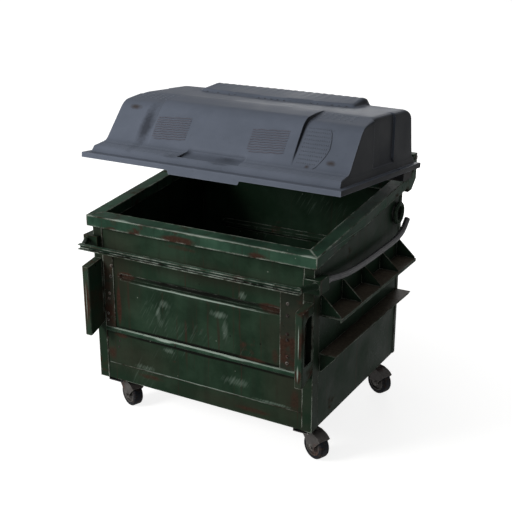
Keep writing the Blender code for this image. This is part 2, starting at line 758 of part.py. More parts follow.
def hinge_outline():
    """Side view of a hinge post, behind the rear rim."""
    y0 = RIM_Y + SEAT_GAP
    y1 = HINGE_POST_REAR
    z = TUB_LIFT
    neck = y1 - HINGE_NECK
    return [(y0, z + HINGE_POST_LOW), (y0 + HINGE_POST_CHAMFER, z + HINGE_POST_LOW),
            (y1, z + HINGE_POST_LOW + HINGE_POST_CHAMFER), (y1, z + HINGE_POST_TOP), (neck, z + HINGE_POST_TOP),
            (neck, z + HINGE_POST_SHOULDER), (y0, z + HINGE_POST_SHOULDER - HINGE_POST_FALL)]


def build_hinge():
    """Two hollow hinge posts, a middle plate and the rod through all three."""
    y0 = RIM_Y + SEAT_GAP
    y1 = HINGE_POST_REAR + OVERRUN
    z = TUB_LIFT
    t = HINGE_POST_SHEET
    bore = circle(HINGE_Y, z + HINGE_Z, ROD_RADIUS + SEAT_GAP)
    neck = HINGE_POST_REAR - HINGE_NECK + t
    inside = [(y0 + t, z + HINGE_POST_LOW + t), (y0 + HINGE_POST_CHAMFER, z + HINGE_POST_LOW + t),
              (y1, z + HINGE_POST_LOW + HINGE_POST_CHAMFER + OVERRUN + t), (y1, z + HINGE_POST_TOP - t),
              (neck, z + HINGE_POST_TOP - t), (neck, z + HINGE_POST_SHOULDER - t),
              (y0 + t, z + HINGE_POST_SHOULDER - HINGE_POST_FALL - t)]
    for side in (1, -1):
        name = side_name(side) + '_hinge_post'
        middle = side * (RIM_X - HINGE_POST_WIDTH / 2)
        post = plate(name, hinge_outline(), HINGE_POST_WIDTH, 'YZ', middle, [bore])
        combine(post, plate(name + '_inside', inside, HINGE_POST_WIDTH - 2 * t, 'YZ', middle), 'DIFFERENCE')
        finish(post, RIM_GREEN, 0.5, 0.2)
    middle = plate('middle_hinge_plate', hinge_outline(), MIDDLE_PLATE, 'YZ', 0, [bore])
    finish(middle, RIM_GREEN, 0.5, 0.2)
    half = RIM_X + SEAT_GAP + ROD_HEAD
    head = half - ROD_HEAD
    profile = [(0, half), (ROD_HEAD_RADIUS, half), (ROD_HEAD_RADIUS, head), (ROD_RADIUS, head),
               (ROD_RADIUS, -head), (ROD_HEAD_RADIUS, -head), (ROD_HEAD_RADIUS, -half), (0, -half)]
    rod = turned('hinge_rod', profile, segments=20)
    rod.location = (0, HINGE_Y, z + HINGE_Z)
    rod.rotation_euler = (0, math.pi / 2, 0)
    finish(rod, ZINC, 0.4, 0.8)


def interpolate(table, place):
    """Straight-line value of a table of places and heights."""
    for (a, low), (b, high) in zip(table, table[1:]):
        if place <= b:
            return low + (high - low) * max(place - a, 0) / (b - a)
    return table[-1][1]


def along_table():
    """Outer height of the lid from its front lip to its rear lip."""
    step = LIP_TOP + STEP_RISE
    front = -LID_FRONT
    rear = -LID_REAR
    lip_end = front + FRONT_LIP
    apron = lip_end + FRONT_STEP_RUN
    slope = apron + APRON_RUN
    shoulder = slope + SLOPE_RUN
    brow = shoulder + SHOULDER_RUN
    foot = rear - REAR_LIP - STEP_RUN - REAR_LEDGE
    top = foot - REAR_WALL_RUN - REAR_ROUND
    table = [(front, LIP_TOP), (lip_end, LIP_TOP), (apron, step), (slope, step + APRON_RISE),
             (shoulder, SLOPE_TOP), (brow, SHOULDER), (brow + BROW_RUN, DOME_HEIGHT)]
    table += [(top + far * REAR_ROUND, DOME_REAR_HEIGHT - low * REAR_ROUND) for far, low in ROUND_SHARES]
    return table + [(foot, step + FOOT_RISE), (foot + REAR_LEDGE, step), (rear - REAR_LIP, LIP_TOP), (rear, LIP_TOP)]


def across_table():
    """Outer height of the lid from its middle to its side lip, before it meets the dome."""
    step = LIP_TOP + STEP_RISE
    lip = LID_HALF_WIDTH - SIDE_LIP
    foot = lip - STEP_RUN - SIDE_LEDGE
    top = foot - SIDE_DRAFT - SIDE_ROUND
    table = [(0, DOME_REAR_HEIGHT + TOP_CAMBER)]
    table += [(top + far * SIDE_ROUND, DOME_REAR_HEIGHT - low * SIDE_ROUND) for far, low in ROUND_SHARES]
    return table + [(foot, step + FOOT_RISE), (foot + SIDE_LEDGE, step), (lip, LIP_TOP), (LID_HALF_WIDTH, LIP_TOP)]


def ramp(value, start, stop):
    """0 before start, 1 past stop, straight between; works in either direction."""
    return min(max((value - start) / (stop - start), 0), 1)


def within(value, half, draft):
    """1 inside plus or minus half, 0 outside, with a slope of the draft on either side."""
    return ramp(-abs(value), -half - draft, -half + draft)


def grid_lines(places):
    """Places in order, without any that nearly meets the one before it."""
    lines = []
    for place in sorted(places):
        if not lines or place - lines[-1] > LINE_GAP:
            lines.append(place)
    return [lines[0], *lines, lines[-1]]


def lid_grid(along, across):
    """Lines of the lid's grid, both ways, with each outer line twice for the lip's drop."""
    slope = -LID_FRONT + FRONT_LIP + FRONT_STEP_RUN + APRON_RUN
    crown = -LID_REAR - REAR_LIP - CROWN_LENGTH
    y_lines = [y for y, _ in along]
    y_lines += [slope + share * PANEL_LENGTH for share, _ in PANEL_SHARES[1:]]
    y_lines += [slope - APRON_RUN + PAD_START, slope - APRON_RUN + PAD_START + 2 * PAD_DRAFT,
                slope, slope + 2 * PAD_DRAFT, crown, crown + 2 * CROWN_DRAFT]
    y_lines += [-edge + hand * RECESS_DRAFT for edge in (RECESS_FRONT, RECESS_REAR) for hand in (1, -1)]
    edges = [(0.0, HANDLE_HALF, PANEL_DRAFT), (PANEL_MIDDLE, PANEL_HALF, PANEL_DRAFT),
             (PANEL_MIDDLE, PAD_HALF, PAD_DRAFT), (0.0, CROWN_HALF, CROWN_DRAFT)]
    x_lines = [middle + side * half + hand * draft for middle, half, draft in edges
               for side in (1, -1) for hand in (1, -1)]
    toe = across[3][0] + SIDE_DRAFT - SIDE_TOE * SIDE_DRAFT / across[3][1]
    x_lines += [side * x for x in (toe, *[x for x, _ in across]) for side in (1, -1)]
    return grid_lines(x_lines), grid_lines(y_lines)


def lid_point(x, y, along, across):
    """Place of the lid's outer face over one point of its plan."""
    slope = -LID_FRONT + FRONT_LIP + FRONT_STEP_RUN + APRON_RUN
    z = min(interpolate(along, y), interpolate(across, abs(x)))
    panel_table = [(slope + share * PANEL_LENGTH, raised) for share, raised in PANEL_SHARES]
    panel = within(x - PANEL_MIDDLE, PANEL_HALF, PANEL_DRAFT) * interpolate(panel_table, y)
    pad = (within(x - PANEL_MIDDLE, PAD_HALF, PAD_DRAFT)
           * ramp(y, slope - APRON_RUN + PAD_START, slope - APRON_RUN + PAD_START + 2 * PAD_DRAFT)
           * ramp(-y, -slope - 2 * PAD_DRAFT, -slope))
    crown_y = -LID_REAR - REAR_LIP - CROWN_LENGTH
    crest = along[7][0]
    crown_table = [(crown_y, 0), (crown_y + 2 * CROWN_DRAFT, CROWN_STEP_SHARE), (crest, 1), (along[9][0], 1),
                   (along[10][0], 0)]
    crown = within(x, CROWN_HALF, CROWN_DRAFT) * interpolate(crown_table, y)
    arch = within(y - crown_y - CROWN_DRAFT, CROWN_DRAFT, CROWN_DRAFT) * CROWN_ARCH * (x / CROWN_HALF) ** 2
    on_side = ramp(abs(x), across[1][0], across[2][0]) * ramp(-abs(x), -across[4][0], -across[3][0])
    recess = on_side * ramp(y, -RECESS_FRONT - RECESS_DRAFT, -RECESS_FRONT + RECESS_DRAFT)
    recess *= ramp(-y, RECESS_REAR - RECESS_DRAFT, RECESS_REAR + RECESS_DRAFT)
    inward = math.copysign(SIDE_RECESS * recess, x)
    return Vector((x - inward, y + arch, z + PANEL_RAISE * panel - PAD_DEPTH * pad + CROWN_RAISE * crown))


def build_lid_shell(pivot):
    """The moulded lid: lip, step, sloping front with a raised panel, dome and rear crown."""
    along = along_table()
    across = across_table()
    x_lines, y_lines = lid_grid(along, across)
    columns = len(x_lines) - 1
    rows = len(y_lines) - 1
    bm = bmesh.new()
    bmesh.ops.create_grid(bm, x_segments=columns, y_segments=rows, size=1)
    for vert in bm.verts:
        i = round((vert.co.x + 1) / 2 * columns)
        j = round((vert.co.y + 1) / 2 * rows)
        vert.co = lid_point(x_lines[i], y_lines[j], along, across)
        if i in (0, columns) or j in (0, rows):
            handle = within(vert.co.x, HANDLE_HALF, PANEL_DRAFT) if j == 0 else 0
            vert.co.z = LIP_TOP - LIP_DROP - HANDLE_DROP * handle
    mesh = bpy.data.meshes.new('lid_shell')
    bm.to_mesh(mesh)
    bm.free()
    smooth(mesh)
    lid = bpy.data.objects.new('lid_shell', mesh)
    sheet = lid.modifiers.new('sheet', 'SOLIDIFY')
    sheet.thickness = LID_SHEET
    sheet.offset = -1
    sheet.use_even_offset = True
    lid.parent = pivot
    finish(lid, LID_GREY, 0.5)


def closed_rim_height(y):
    """Height of the rim's top in the lid's frame when the lid is closed, at place y."""
    angle = LID_CLOSED_TILT
    gap = TUB_LIFT + HINGE_Z + y * math.sin(angle) - rim_top(HINGE_Y + y * math.cos(angle))
    return -gap / math.cos(angle)


def build_lid():
    """The lid with its hinge arms and rest pads, about a pivot on the hinge axis."""
    pivot = bpy.data.objects.new('lid_pivot', None)
    PARTS.objects.link(pivot)
    pivot.location = (LID_PLAY, HINGE_Y, TUB_LIFT + HINGE_Z)
    pivot.rotation_euler = (-LID_TILT, 0, 0)
    build_lid_shell(pivot)
    ledge = LIP_TOP + SEAT_GAP
    tail = -LID_REAR - REAR_LIP + SEAT_GAP
    outline = [(0, ledge), (tail, ledge), (tail, ledge + ARM_UPSTAND), (tail + ARM_SHEET, ledge + ARM_UPSTAND),
               (tail + ARM_SHEET, ledge + ARM_SHEET), (0, ledge + ARM_SHEET)]
    for side in (1, -1):
        name = 'lid_' + side_name(side) + '_hinge_arm'
        middle = side * ARM_PLACE
        arm = plate(name, outline, ARM_WIDTH, 'YZ', middle)
        eye = plate(name + '_eye', circle(0, 0, ARM_EYE_RADIUS), ARM_WIDTH, 'YZ', middle)
        combine(arm, eye, 'UNION')
        bore = plate(name + '_bore', circle(0, 0, ROD_RADIUS + SEAT_GAP), ARM_WIDTH + OVERRUN, 'YZ', middle)
        combine(arm, bore, 'DIFFERENCE')
        for piece in (arm, eye, bore):
            piece.parent = pivot
        finish(arm, ZINC, 0.5, 0.6)
        build_rest_pad(side, pivot)


def build_rest_pad(side, pivot):
    """A rubber pad under the side lip, which meets the rim when the lid is shut."""
    top = LIP_TOP - LID_SHEET - SEAT_GAP
    outer = LID_HALF_WIDTH - LID_SHEET - SEAT_GAP
    stem = outer - BUMPER_STEM
    inner = outer - BUMPER_WIDTH
    low = closed_rim_height(-BUMPER_MIDDLE - BUMPER_LENGTH / 2) + BUMPER_CLEARANCE
    ledge = top - BUMPER_NECK
    outline = [(outer, top), (stem, top), (stem, ledge), (inner, ledge), (inner, low), (outer, low)]
    pad = plate('lid_' + side_name(side) + '_rest_pad', flip_x(outline, side), BUMPER_LENGTH, 'XZ', BUMPER_MIDDLE)
    pad.parent = pivot
    finish(pad, BLACK_RUBBER, 0.8)


def build_rear_stiffeners():
    """Two folded stiffeners upright on the rear wall."""
    face = WALL_Y + SEAT_GAP
    for side in (1, -1):
        x = side * STIFFENER_X
        half = STIFFENER_WIDTH / 2
        t = STIFFENER_SHEET
        deep = face + STIFFENER_DEPTH
        outline = [(x - half, face), (x - half, deep), (x + half, deep), (x + half, face),
                   (x + half - t, face), (x + half - t, deep - t), (x - half + t, deep - t), (x - half + t, face)]
        tall = STIFFENER_HIGH - STIFFENER_LOW
        middle = TUB_LIFT + (STIFFENER_HIGH + STIFFENER_LOW) / 2
        piece = plate('rear_' + side_name(side) + '_stiffener', outline, tall, 'XY', middle)
        finish(piece, BODY_GREEN, 0.55, 0.2)


def fork_leg_outline(top):
    """Side view of one fork leg: from the head down round the axle, and up to the hood."""
    hood = WHEEL_RADIUS + HOOD_CLEARANCE + HOOD_SHEET
    return [(-LEG_HEEL, top), (-LEG_HEEL, top - FORK_HEAD_SHEET),
            *arc(TRAIL, WHEEL_RADIUS, LEG_EYE_RADIUS, 215, 375, 10),
            *arc(TRAIL, WHEEL_RADIUS, hood, HOOD_LOW_DEGREES, HOOD_LEG_DEGREES, 5), (TRAIL, top)]


def hood_outline():
    """Side view of the sheet that arches over the wheel between the fork's legs."""
    inner = WHEEL_RADIUS + HOOD_CLEARANCE
    return [*arc(TRAIL, WHEEL_RADIUS, inner + HOOD_SHEET, HOOD_LOW_DEGREES, HOOD_HIGH_DEGREES, 7),
            *arc(TRAIL, WHEEL_RADIUS, inner, HOOD_HIGH_DEGREES, HOOD_LOW_DEGREES, 7)]


def build_caster(side, end):
    """One swivel caster: top plate, fork with its pin and axle, hub and tyre."""
    name = ('front' if end < 0 else 'rear') + '_' + side_name(side)
    x = side * CHANNEL_X
    y = end * CASTER_Y
    plate_top = TUB_LIFT - CHANNEL_HEIGHT - SEAT_GAP
    plate_low = plate_top - PLATE_SHEET
    square = PLATE_SIZE / 2
    outline = [(x - square, y - square), (x + square, y - square), (x + square, y + square), (x - square, y + square)]
    head = circle(x, y, KINGPIN_RADIUS + SEAT_GAP, 16)
    finish(plate(name + '_caster_plate', outline, PLATE_SHEET, 'XY', (plate_top + plate_low) / 2, [head]),
           ZINC, 0.45, 0.8)
    pivot = bpy.data.objects.new(name + '_caster_pivot', None)
    PARTS.objects.link(pivot)
    pivot.location = (x, y, 0)
    pivot.rotation_euler = (0, 0, CASTER_YAW)
    head_top = plate_low - SEAT_GAP
    head_low = head_top - FORK_HEAD_RISE
    profile = [(0, plate_top - SEAT_GAP), (KINGPIN_RADIUS, plate_top - SEAT_GAP), (KINGPIN_RADIUS, head_top),
               (FORK_NECK_SHARE * FORK_HEAD_RADIUS, head_top), (FORK_HEAD_RADIUS, head_low),
               (FORK_HEAD_RADIUS, head_low - FORK_HEAD_SHEET), (0, head_low - FORK_HEAD_SHEET)]
    fork = turned(name + '_fork', profile, segments=24)
    inner = HUB_WIDTH / 2 + LEG_CLEARANCE
    for hand in (1, -1):
        leg = plate(f'{name}_leg_{hand}', fork_leg_outline(head_low), LEG_SHEET, 'XZ',
                    hand * (inner + LEG_SHEET / 2))
        leg.parent = pivot
        combine(fork, leg, 'UNION')
    hood = plate(name + '_hood', hood_outline(), 2 * inner + LEG_SHEET, 'XZ')
    hood.parent = pivot
    combine(fork, hood, 'UNION')
    axle = cylinder(name + '_axle', AXLE_RADIUS, 2 * (inner + LEG_SHEET + AXLE_END), 16)
    axle.location = (TRAIL, 0, WHEEL_RADIUS)
    axle.rotation_euler = (math.pi / 2, 0, 0)
    axle.parent = pivot
    combine(fork, axle, 'UNION')
    fork.parent = pivot
    finish(fork, ZINC, 0.5, 0.7)
    bore = AXLE_RADIUS + SEAT_GAP
    half_hub = HUB_WIDTH / 2
    half = WHEEL_WIDTH / 2
    dish = half - HUB_RECESS
    flat, flange = (share * HUB_RADIUS for share in HUB_DISH_SHARES)
    hub_profile = [(bore, half_hub), (HUB_BOSS_RADIUS, half_hub), (HUB_BOSS_RADIUS, dish), (flat, dish),
                   (flange, half - LEG_CLEARANCE), (HUB_RADIUS, half - LEG_CLEARANCE)]
    hub_profile += [(radius, -height) for radius, height in reversed(hub_profile)]
    tyre_profile = [(HUB_RADIUS + SEAT_GAP, half),
                    *arc(WHEEL_RADIUS - TYRE_ROUND, half - TYRE_ROUND, TYRE_ROUND, 90, 0, 3)]
    tyre_profile += [(radius, -height) for radius, height in reversed(tyre_profile)]
    for part, profile, colour, roughness, metallic in (
            ('_hub', hub_profile, ZINC, 0.5, 0.6), ('_tyre', tyre_profile, WHEEL_BLUE, 0.7, 0.0)):
        wheel = turned(name + part, profile, closed=True, segments=28)
        wheel.location = (TRAIL, 0, WHEEL_RADIUS)
        wheel.rotation_euler = (math.pi / 2, 0, 0)
        wheel.parent = pivot
        finish(wheel, colour, roughness, metallic)


def build_undercarriage():
    """The two channels under the floor and the four casters."""
    top = TUB_LIFT - SEAT_GAP
    low = TUB_LIFT - CHANNEL_HEIGHT
    half = CHANNEL_WIDTH / 2
    t = CHANNEL_SHEET
    for side in (1, -1):
        x = side * CHANNEL_X
        section = [(x - half, top), (x - half, low), (x + half, low), (x + half, top), (x + half - t, top),
                   (x + half - t, low + t), (x - half + t, low + t), (x - half + t, top)]
        channel = plate(side_name(side) + '_caster_channel', section, 2 * CHANNEL_HALF_LENGTH, 'XZ')
        finish(channel, BARE_STEEL, 0.6, 0.5)
        for end in (-1, 1):
            build_caster(side, end)


build_walls()
build_posts()
build_rim()
build_front_fittings()
build_lift_bar()
build_side_rails()
build_fork_shelves()
build_hinge()
build_lid()
build_rear_stiffeners()
build_undercarriage()
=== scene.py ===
"""A worn steel dumpster with a grey moulded lid: the finish of every surface and the small details."""
import bisect
import json
import math
import random

import bmesh
import bpy
from mathutils import Matrix, Vector


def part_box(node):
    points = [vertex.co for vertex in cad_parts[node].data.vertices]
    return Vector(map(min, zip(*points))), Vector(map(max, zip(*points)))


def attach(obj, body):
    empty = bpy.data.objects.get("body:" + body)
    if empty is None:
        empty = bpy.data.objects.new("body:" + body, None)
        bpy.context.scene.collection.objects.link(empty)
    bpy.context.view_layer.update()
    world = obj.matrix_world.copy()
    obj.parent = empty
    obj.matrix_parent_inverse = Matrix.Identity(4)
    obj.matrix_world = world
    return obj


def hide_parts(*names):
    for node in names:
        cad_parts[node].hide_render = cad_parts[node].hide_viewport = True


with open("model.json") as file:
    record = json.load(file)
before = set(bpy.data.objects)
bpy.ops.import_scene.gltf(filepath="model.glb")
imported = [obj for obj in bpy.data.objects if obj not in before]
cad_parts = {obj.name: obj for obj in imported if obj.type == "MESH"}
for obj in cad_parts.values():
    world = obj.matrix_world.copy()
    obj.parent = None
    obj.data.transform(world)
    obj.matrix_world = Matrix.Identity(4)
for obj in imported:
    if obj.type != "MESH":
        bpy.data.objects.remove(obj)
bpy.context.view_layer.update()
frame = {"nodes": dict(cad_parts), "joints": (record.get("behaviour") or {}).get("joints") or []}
NODES = frame['nodes']
JOINTS = {joint['name']: joint for joint in frame['joints']}
MM = 0.001

# Places read from the frame
HINGE = Vector(JOINTS['lid_hinge']['pos_m'])
LID_LOW, LID_HIGH = (Vector(corner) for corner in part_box('lid_shell'))
LID_HALF = (LID_HIGH.x - LID_LOW.x) / 2
LID_TILT = math.radians(5.6)
LID_TURN = (Matrix.Translation(HINGE + Vector(((LID_HIGH.x + LID_LOW.x) / 2 - HINGE.x, 0, 0)))
            @ Matrix.Rotation(-LID_TILT, 4, 'X'))
WALL_LOW, WALL_HIGH = (Vector(corner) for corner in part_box('front_wall'))
POST_LOW, POST_HIGH = (Vector(corner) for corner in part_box('front_right_post'))
STRAP_LOW, STRAP_HIGH = (Vector(corner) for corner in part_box('front_right_strap'))
LEFT_STRAP_LOW, LEFT_STRAP_HIGH = (Vector(corner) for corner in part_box('front_left_strap'))
POCKET_LOW, POCKET_HIGH = (Vector(corner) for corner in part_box('front_right_pocket'))
RIM_LOW, RIM_HIGH = (Vector(corner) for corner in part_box('right_rim'))

# Camera, from the vanishing lines of the rim, walls and shelves
SENSOR = 36.0
LENS = 70.78
CAMERA_PLACE = (3.6146, -6.3127, 3.8535)
CAMERA_AZIMUTH = math.radians(29.508)
CAMERA_ELEVATION = math.radians(20.119)

# Lid, in its own frame: heights over the hinge axis, and runs from its front lip
LID_FRONT = 1.645
LID_REAR = 0.210
LID_SHEET = 5 * MM
LIP_TOP = 0.003
LIP_DROP = 0.038
STEP_TOP = 0.045
FRONT_LIP = 0.065
FRONT_STEP = 0.090
SLOPE_FOOT = 0.225
SLOPE_FOOT_TOP = 0.071
SLOPE_END = 0.410
SLOPE_TOP = 0.325
SHOULDER = 0.455
SHOULDER_TOP = 0.358
BROW = 0.685
BROW_TOP = 0.405
DOME_TOP = 0.420
REAR_ROUND = 0.185
REAR_WALL = 0.130
REAR_FOOT = 0.075
REAR_STEP = 0.052
REAR_LIP = 0.045
SIDE_LIP = 0.036
SIDE_STEP = 0.043
SIDE_FOOT = 0.049
SIDE_WALL = 0.059
SIDE_ROUND = 0.089
FOOT_RISE = 0.010
CAMBER = 0.030
ROUND_DROP = 0.030
LIP_BEND = 6 * MM
FORM_BEND = 26 * MM
CORNER_BLEND = 0.030
APRON_STEP = 5.5 * MM
SKIN_STEP = 18 * MM

# Forms moulded into the lid
PANEL_MIDDLE = -0.030
PANEL_HALF = 0.590
PANEL_PROUD = 0.024
PANEL_DRAFT = 0.005
PANEL_LENGTH = 0.500
PANEL_SHARES = ((0.0, 0.0), (0.14, 0.6), (0.38, 1.0), (0.5, 1.0), (0.75, 0.6), (1.0, 0.0))
PAD_HALF = 0.245
PAD_TAPER = 0.10
PAD_START = 0.104
PAD_END = 0.236
PAD_DEPTH = 0.015
PAD_DRAFT = 0.006
HANDLE_HALF = 0.285
HANDLE_DROP = 0.028
NOTCH_MIDDLE = 0.320
NOTCH_HALF = 0.027
RIDGE_PITCH = 0.0215
RIDGE_HEIGHT = 0.0032
CROWN_HALF = 0.655
CROWN_RAISE = 0.049
CROWN_DRAFT = 0.020
CROWN_FRONT = 0.500
CROWN_CREST = 0.440
CROWN_ARCH = 0.060
CROWN_STEP_SHARE = 0.40
SIDE_RECESS = 0.014
RECESS_FRONT = 1.020
RECESS_REAR = 0.655
RECESS_DRAFT = 0.006
GRILLE_MIDDLES = (-0.463, 0.333)
GRILLE_HALF = 0.142
GRILLE_START = 0.262
GRILLE_END = 0.372
GRILLE_RIBS = 10
FIELD_LINE = ((0.753, 0.409), (0.770, 0.392), (0.786, 0.360), (0.794, 0.324), (0.786, 0.296), (0.765, 0.266),
              (0.742, 0.240), (0.721, 0.220))

# Front wall
GROOVE_Z = 1.14
GROOVE_REACH = 0.672
GROOVE_HALF = 0.028
GROOVE_DEPTH = 0.021
BELLY = 9 * MM
DENTS = ((-0.264, 1.042, 0.075, 7 * MM), (0.219, 1.065, 0.060, 5 * MM), (-0.55, 1.25, 0.11, 6 * MM),
         (0.42, 0.93, 0.13, 6 * MM), (-0.30, 0.57, 0.12, 5 * MM), (0.30, 0.60, 0.16, 6 * MM),
         (0.05, 1.36, 0.10, 4 * MM), (-0.62, 0.86, 0.08, 5 * MM))
WALL_SHEET = 4 * MM
BOLT_HEIGHTS = (1.217, 1.130, 0.992, 0.950, 0.824, 0.772)
SEAM_RISE = 0.135

# Rim's tube, the shelves' plate under their top, and the side wall's face
RIM_WIDE = 0.105
RIM_DEEP = 0.082
SHELF_RISE = 0.142
SIDE_FACE = 0.925

# Casters: half the bolt pitch of their plates, and half the axle's length
ENDS = ('front_right', 'front_left', 'rear_right', 'rear_left')
PLATE_BOLT = 0.044
AXLE_HALF = 0.0505

# Stains, rubs, painted shade and painted highlights, seen from the front: centre X and Z, half width and half
# height, strength
FRONT_RUST = ((-0.64, GROOVE_Z + 0.01, 0.12, 0.060, 1.1), (0.60, GROOVE_Z + 0.01, 0.18, 0.060, 1.2),
              (-0.712, 0.90, 0.035, 0.28, 1.15), (0.62, 0.80, 0.08, 0.16, 0.70), (0.45, 0.73, 0.26, 0.04, 0.70),
              (-0.70, 0.66, 0.16, 0.05, 0.75), (-0.80, 0.50, 0.10, 0.14, 0.62), (-0.45, 0.37, 0.30, 0.05, 0.62),
              (0.45, 0.33, 0.35, 0.05, 0.66), (0.78, 0.52, 0.09, 0.22, 0.60),
              (0.0, GROOVE_Z + 0.02, 0.5, 0.02, 0.5),
              (-0.15, 1.46, 0.45, 0.05, 0.55), (-0.86, 1.25, 0.06, 0.30, 0.55), (0.86, 1.1, 0.05, 0.5, 0.55))
FRONT_FILM = ((-0.72, 1.20, 0.30, 0.50, 1.0), (-0.60, 0.50, 0.50, 0.25, 0.9), (0.75, 0.60, 0.30, 0.60, 1.0),
              (0.10, 1.30, 0.80, 0.12, 0.9), (0.30, 0.34, 0.80, 0.10, 0.9), (0.60, 0.95, 0.16, 0.30, 0.7))
# Painted shade: the dark top of the pressed groove, and bands above and below the ledge
FRONT_SHADE_BANDS = ((0.0, GROOVE_Z + 0.010, 0.80, 0.034, 1.0), (0.0, 0.730, 1.10, 0.014, 1.0),
               (0.0, 0.668, 1.10, 0.016, 1.0))
POCKET_RUST = ((-0.88, 0.95, 0.06, 0.32, 0.9), (0.895, 1.00, 0.03, 0.20, 0.8), (0.884, 0.78, 0.05, 0.10, 1.0))
POCKET_LIPS = ((0.884, 1.03, 0.005, 0.17, 0.95), (0.880, 0.80, 0.010, 0.10, 0.8), (-0.884, 0.95, 0.006, 0.24, 0.7))
# Painted highlight along the rim's outer edge, worn pale at its ends
RIM_HIGHLIGHT_AND_WEAR_LIPS = ((-0.62, 1.592, 0.14, 0.006, 1.0), (0.88, 1.592, 0.10, 0.006, 1.1), (0.10, 1.593, 0.80, 0.004, 0.8))
# Painted highlight along the ledge's top
LEDGE_HIGHLIGHT_LIPS = ((0.0, 0.716, 1.30, 0.007, 1.0), (-0.30, 0.712, 0.12, 0.016, 0.9), (0.30, 0.712, 0.16, 0.012, 0.8))
# Painted highlight along the groove's lower lip, and a worn pale seam line
FRONT_HIGHLIGHT_AND_WEAR_LIPS = ((0.0, GROOVE_Z - GROOVE_HALF - 0.004, 0.78, 0.009, 1.0), (0.0, WALL_LOW.z + 0.138, 0.95, 0.006, 0.8))
# Painted shade beside the panel's left edge and along the sunk pad
LID_PAINTED_SHADE = ((-0.672, 2.21, 0.070, 0.17, 1.0), (0.10, 2.075, 0.12, 0.012, 0.6), (-0.30, 2.075, 0.10, 0.012, 0.6))
LID_STAINS = ((-0.83, 2.315, 0.07, 0.022, 0.9), (0.86, 2.135, 0.05, 0.022, 0.9), (0.70, 2.10, 0.025, 0.014, 0.9))
RIM_RUST = ((-0.15, 1.53, 0.32, 0.06, 0.9), (0.50, 1.53, 0.18, 0.05, 0.7), (-0.72, 1.52, 0.12, 0.04, 0.7))
# Pale rubs, and painted highlights on the dents
FRONT_RUBS_AND_HIGHLIGHTS = ((0.17, 1.02, 0.13, 0.05, 0.75), (-0.30, 1.00, 0.09, 0.07, 0.60), (-0.35, 0.90, 0.05, 0.16, 0.62),
              (0.22, 0.90, 0.05, 0.20, 0.60), (0.36, 1.20, 0.06, 0.06, 0.65), (-0.28, 0.63, 0.10, 0.04, 0.70),
              (0.30, 0.52, 0.22, 0.07, 0.58), (-0.50, 0.44, 0.20, 0.05, 0.55), (0.60, 0.43, 0.25, 0.02, 0.75))


def linear(hex_colour):
    """An sRGB hex colour as the linear RGBA that shaders take."""
    channels = [int(hex_colour[i:i + 2], 16) / 255 for i in (1, 3, 5)]
    light = [c / 12.92 if c <= 0.04045 else ((c + 0.055) / 1.055) ** 2.4 for c in channels]
    return (*light, 1.0)


def fill(tree, node, inputs):
    """Fills a node's inputs with values, outputs, or nodes, which stand for their first output in use."""
    for key, value in inputs.items():
        if isinstance(value, bpy.types.Node):
            value = next(output for output in value.outputs if output.enabled)
        if isinstance(value, bpy.types.NodeSocket):
            tree.links.new(value, node.inputs[key])
        else:
            node.inputs[key].default_value = value


def add(tree, kind, inputs=None, **settings):
    """Adds a shader node with its settings, and fills its inputs."""
    made = tree.nodes.new('ShaderNode' + kind)
    for name, value in settings.items():
        setattr(made, name, value)
    fill(tree, made, inputs or {})
    return made


def blank(name, specular=0.5):
    """A new material, its node tree and its Principled shader."""
    material = bpy.data.materials.new(name)
    material.use_nodes = True
    shader = material.node_tree.nodes['Principled BSDF']
    shader.inputs['Specular IOR Level'].default_value = specular
    return material, material.node_tree, shader


def dress(material, *names):
    """Gives CAD nodes a material in place of their plain one."""
    for name in names:
        slots = NODES[name].material_slots
        if not slots:
            NODES[name].data.materials.append(material)
        for slot in slots:
            slot.material = material


def edge_mask(tree, radius, seed_place):
    """Bright where a hard edge lies within the radius, broken up as chipped paint is."""
    rounded = add(tree, 'Bevel', {'Radius': radius}, samples=6)
    flat = add(tree, 'NewGeometry')
    facing = add(tree, 'VectorMath', {0: rounded, 1: flat.outputs['Normal']}, operation='DOT_PRODUCT')
    turned = add(tree, 'MapRange', {'Value': facing, 'From Min': 0.995, 'From Max': 0.86})
    breakup = add(tree, 'TexNoise', {'Vector': seed_place, 'Scale': 9.0, 'Detail': 6.0, 'Roughness': 0.65})
    worn = add(tree, 'MapRange', {'Value': breakup, 'From Min': 0.42, 'From Max': 0.60})
    return add(tree, 'Math', {0: turned, 1: worn}, operation='MULTIPLY'), turned


def painted_crevice_shade(tree, colour, reach, shade_in_crevices, strength):
    """Painted shade where surfaces meet, fading out over the reach."""
    shelter = add(tree, 'AmbientOcclusion', {'Distance': reach}, samples=6)
    shade_amount = add(tree, 'MapRange', {'Value': shelter.outputs['AO'], 'From Min': 0.30, 'From Max': 0.92,
                                    'To Min': strength, 'To Max': 0.0})
    return add(tree, 'Mix', {0: shade_amount, 6: colour, 7: linear(shade_in_crevices)}, data_type='RGBA')


def patches(tree, place, spots, breakup, low, high):
    """A mask of soft ragged patches: each a centre in X and Z, half width and height, and strength."""
    total = 0.0
    for x, z, wide, tall, strength in spots:
        local = add(tree, 'Mapping', {'Vector': place, 'Location': (-x / wide, 0.0, -z / tall),
                                      'Scale': (1 / wide, 0.0, 1 / tall)})
        away = add(tree, 'VectorMath', {0: local}, operation='LENGTH')
        patch = add(tree, 'MapRange', {'Value': away, 'From Min': 1.0, 'From Max': 0.2, 'To Max': strength})
        total = add(tree, 'Math', {0: total, 1: patch}, operation='MAXIMUM')
    ragged = add(tree, 'Math', {0: total, 1: breakup}, operation='ADD')
    return add(tree, 'MapRange', {'Value': ragged, 'From Min': low, 'From Max': high})


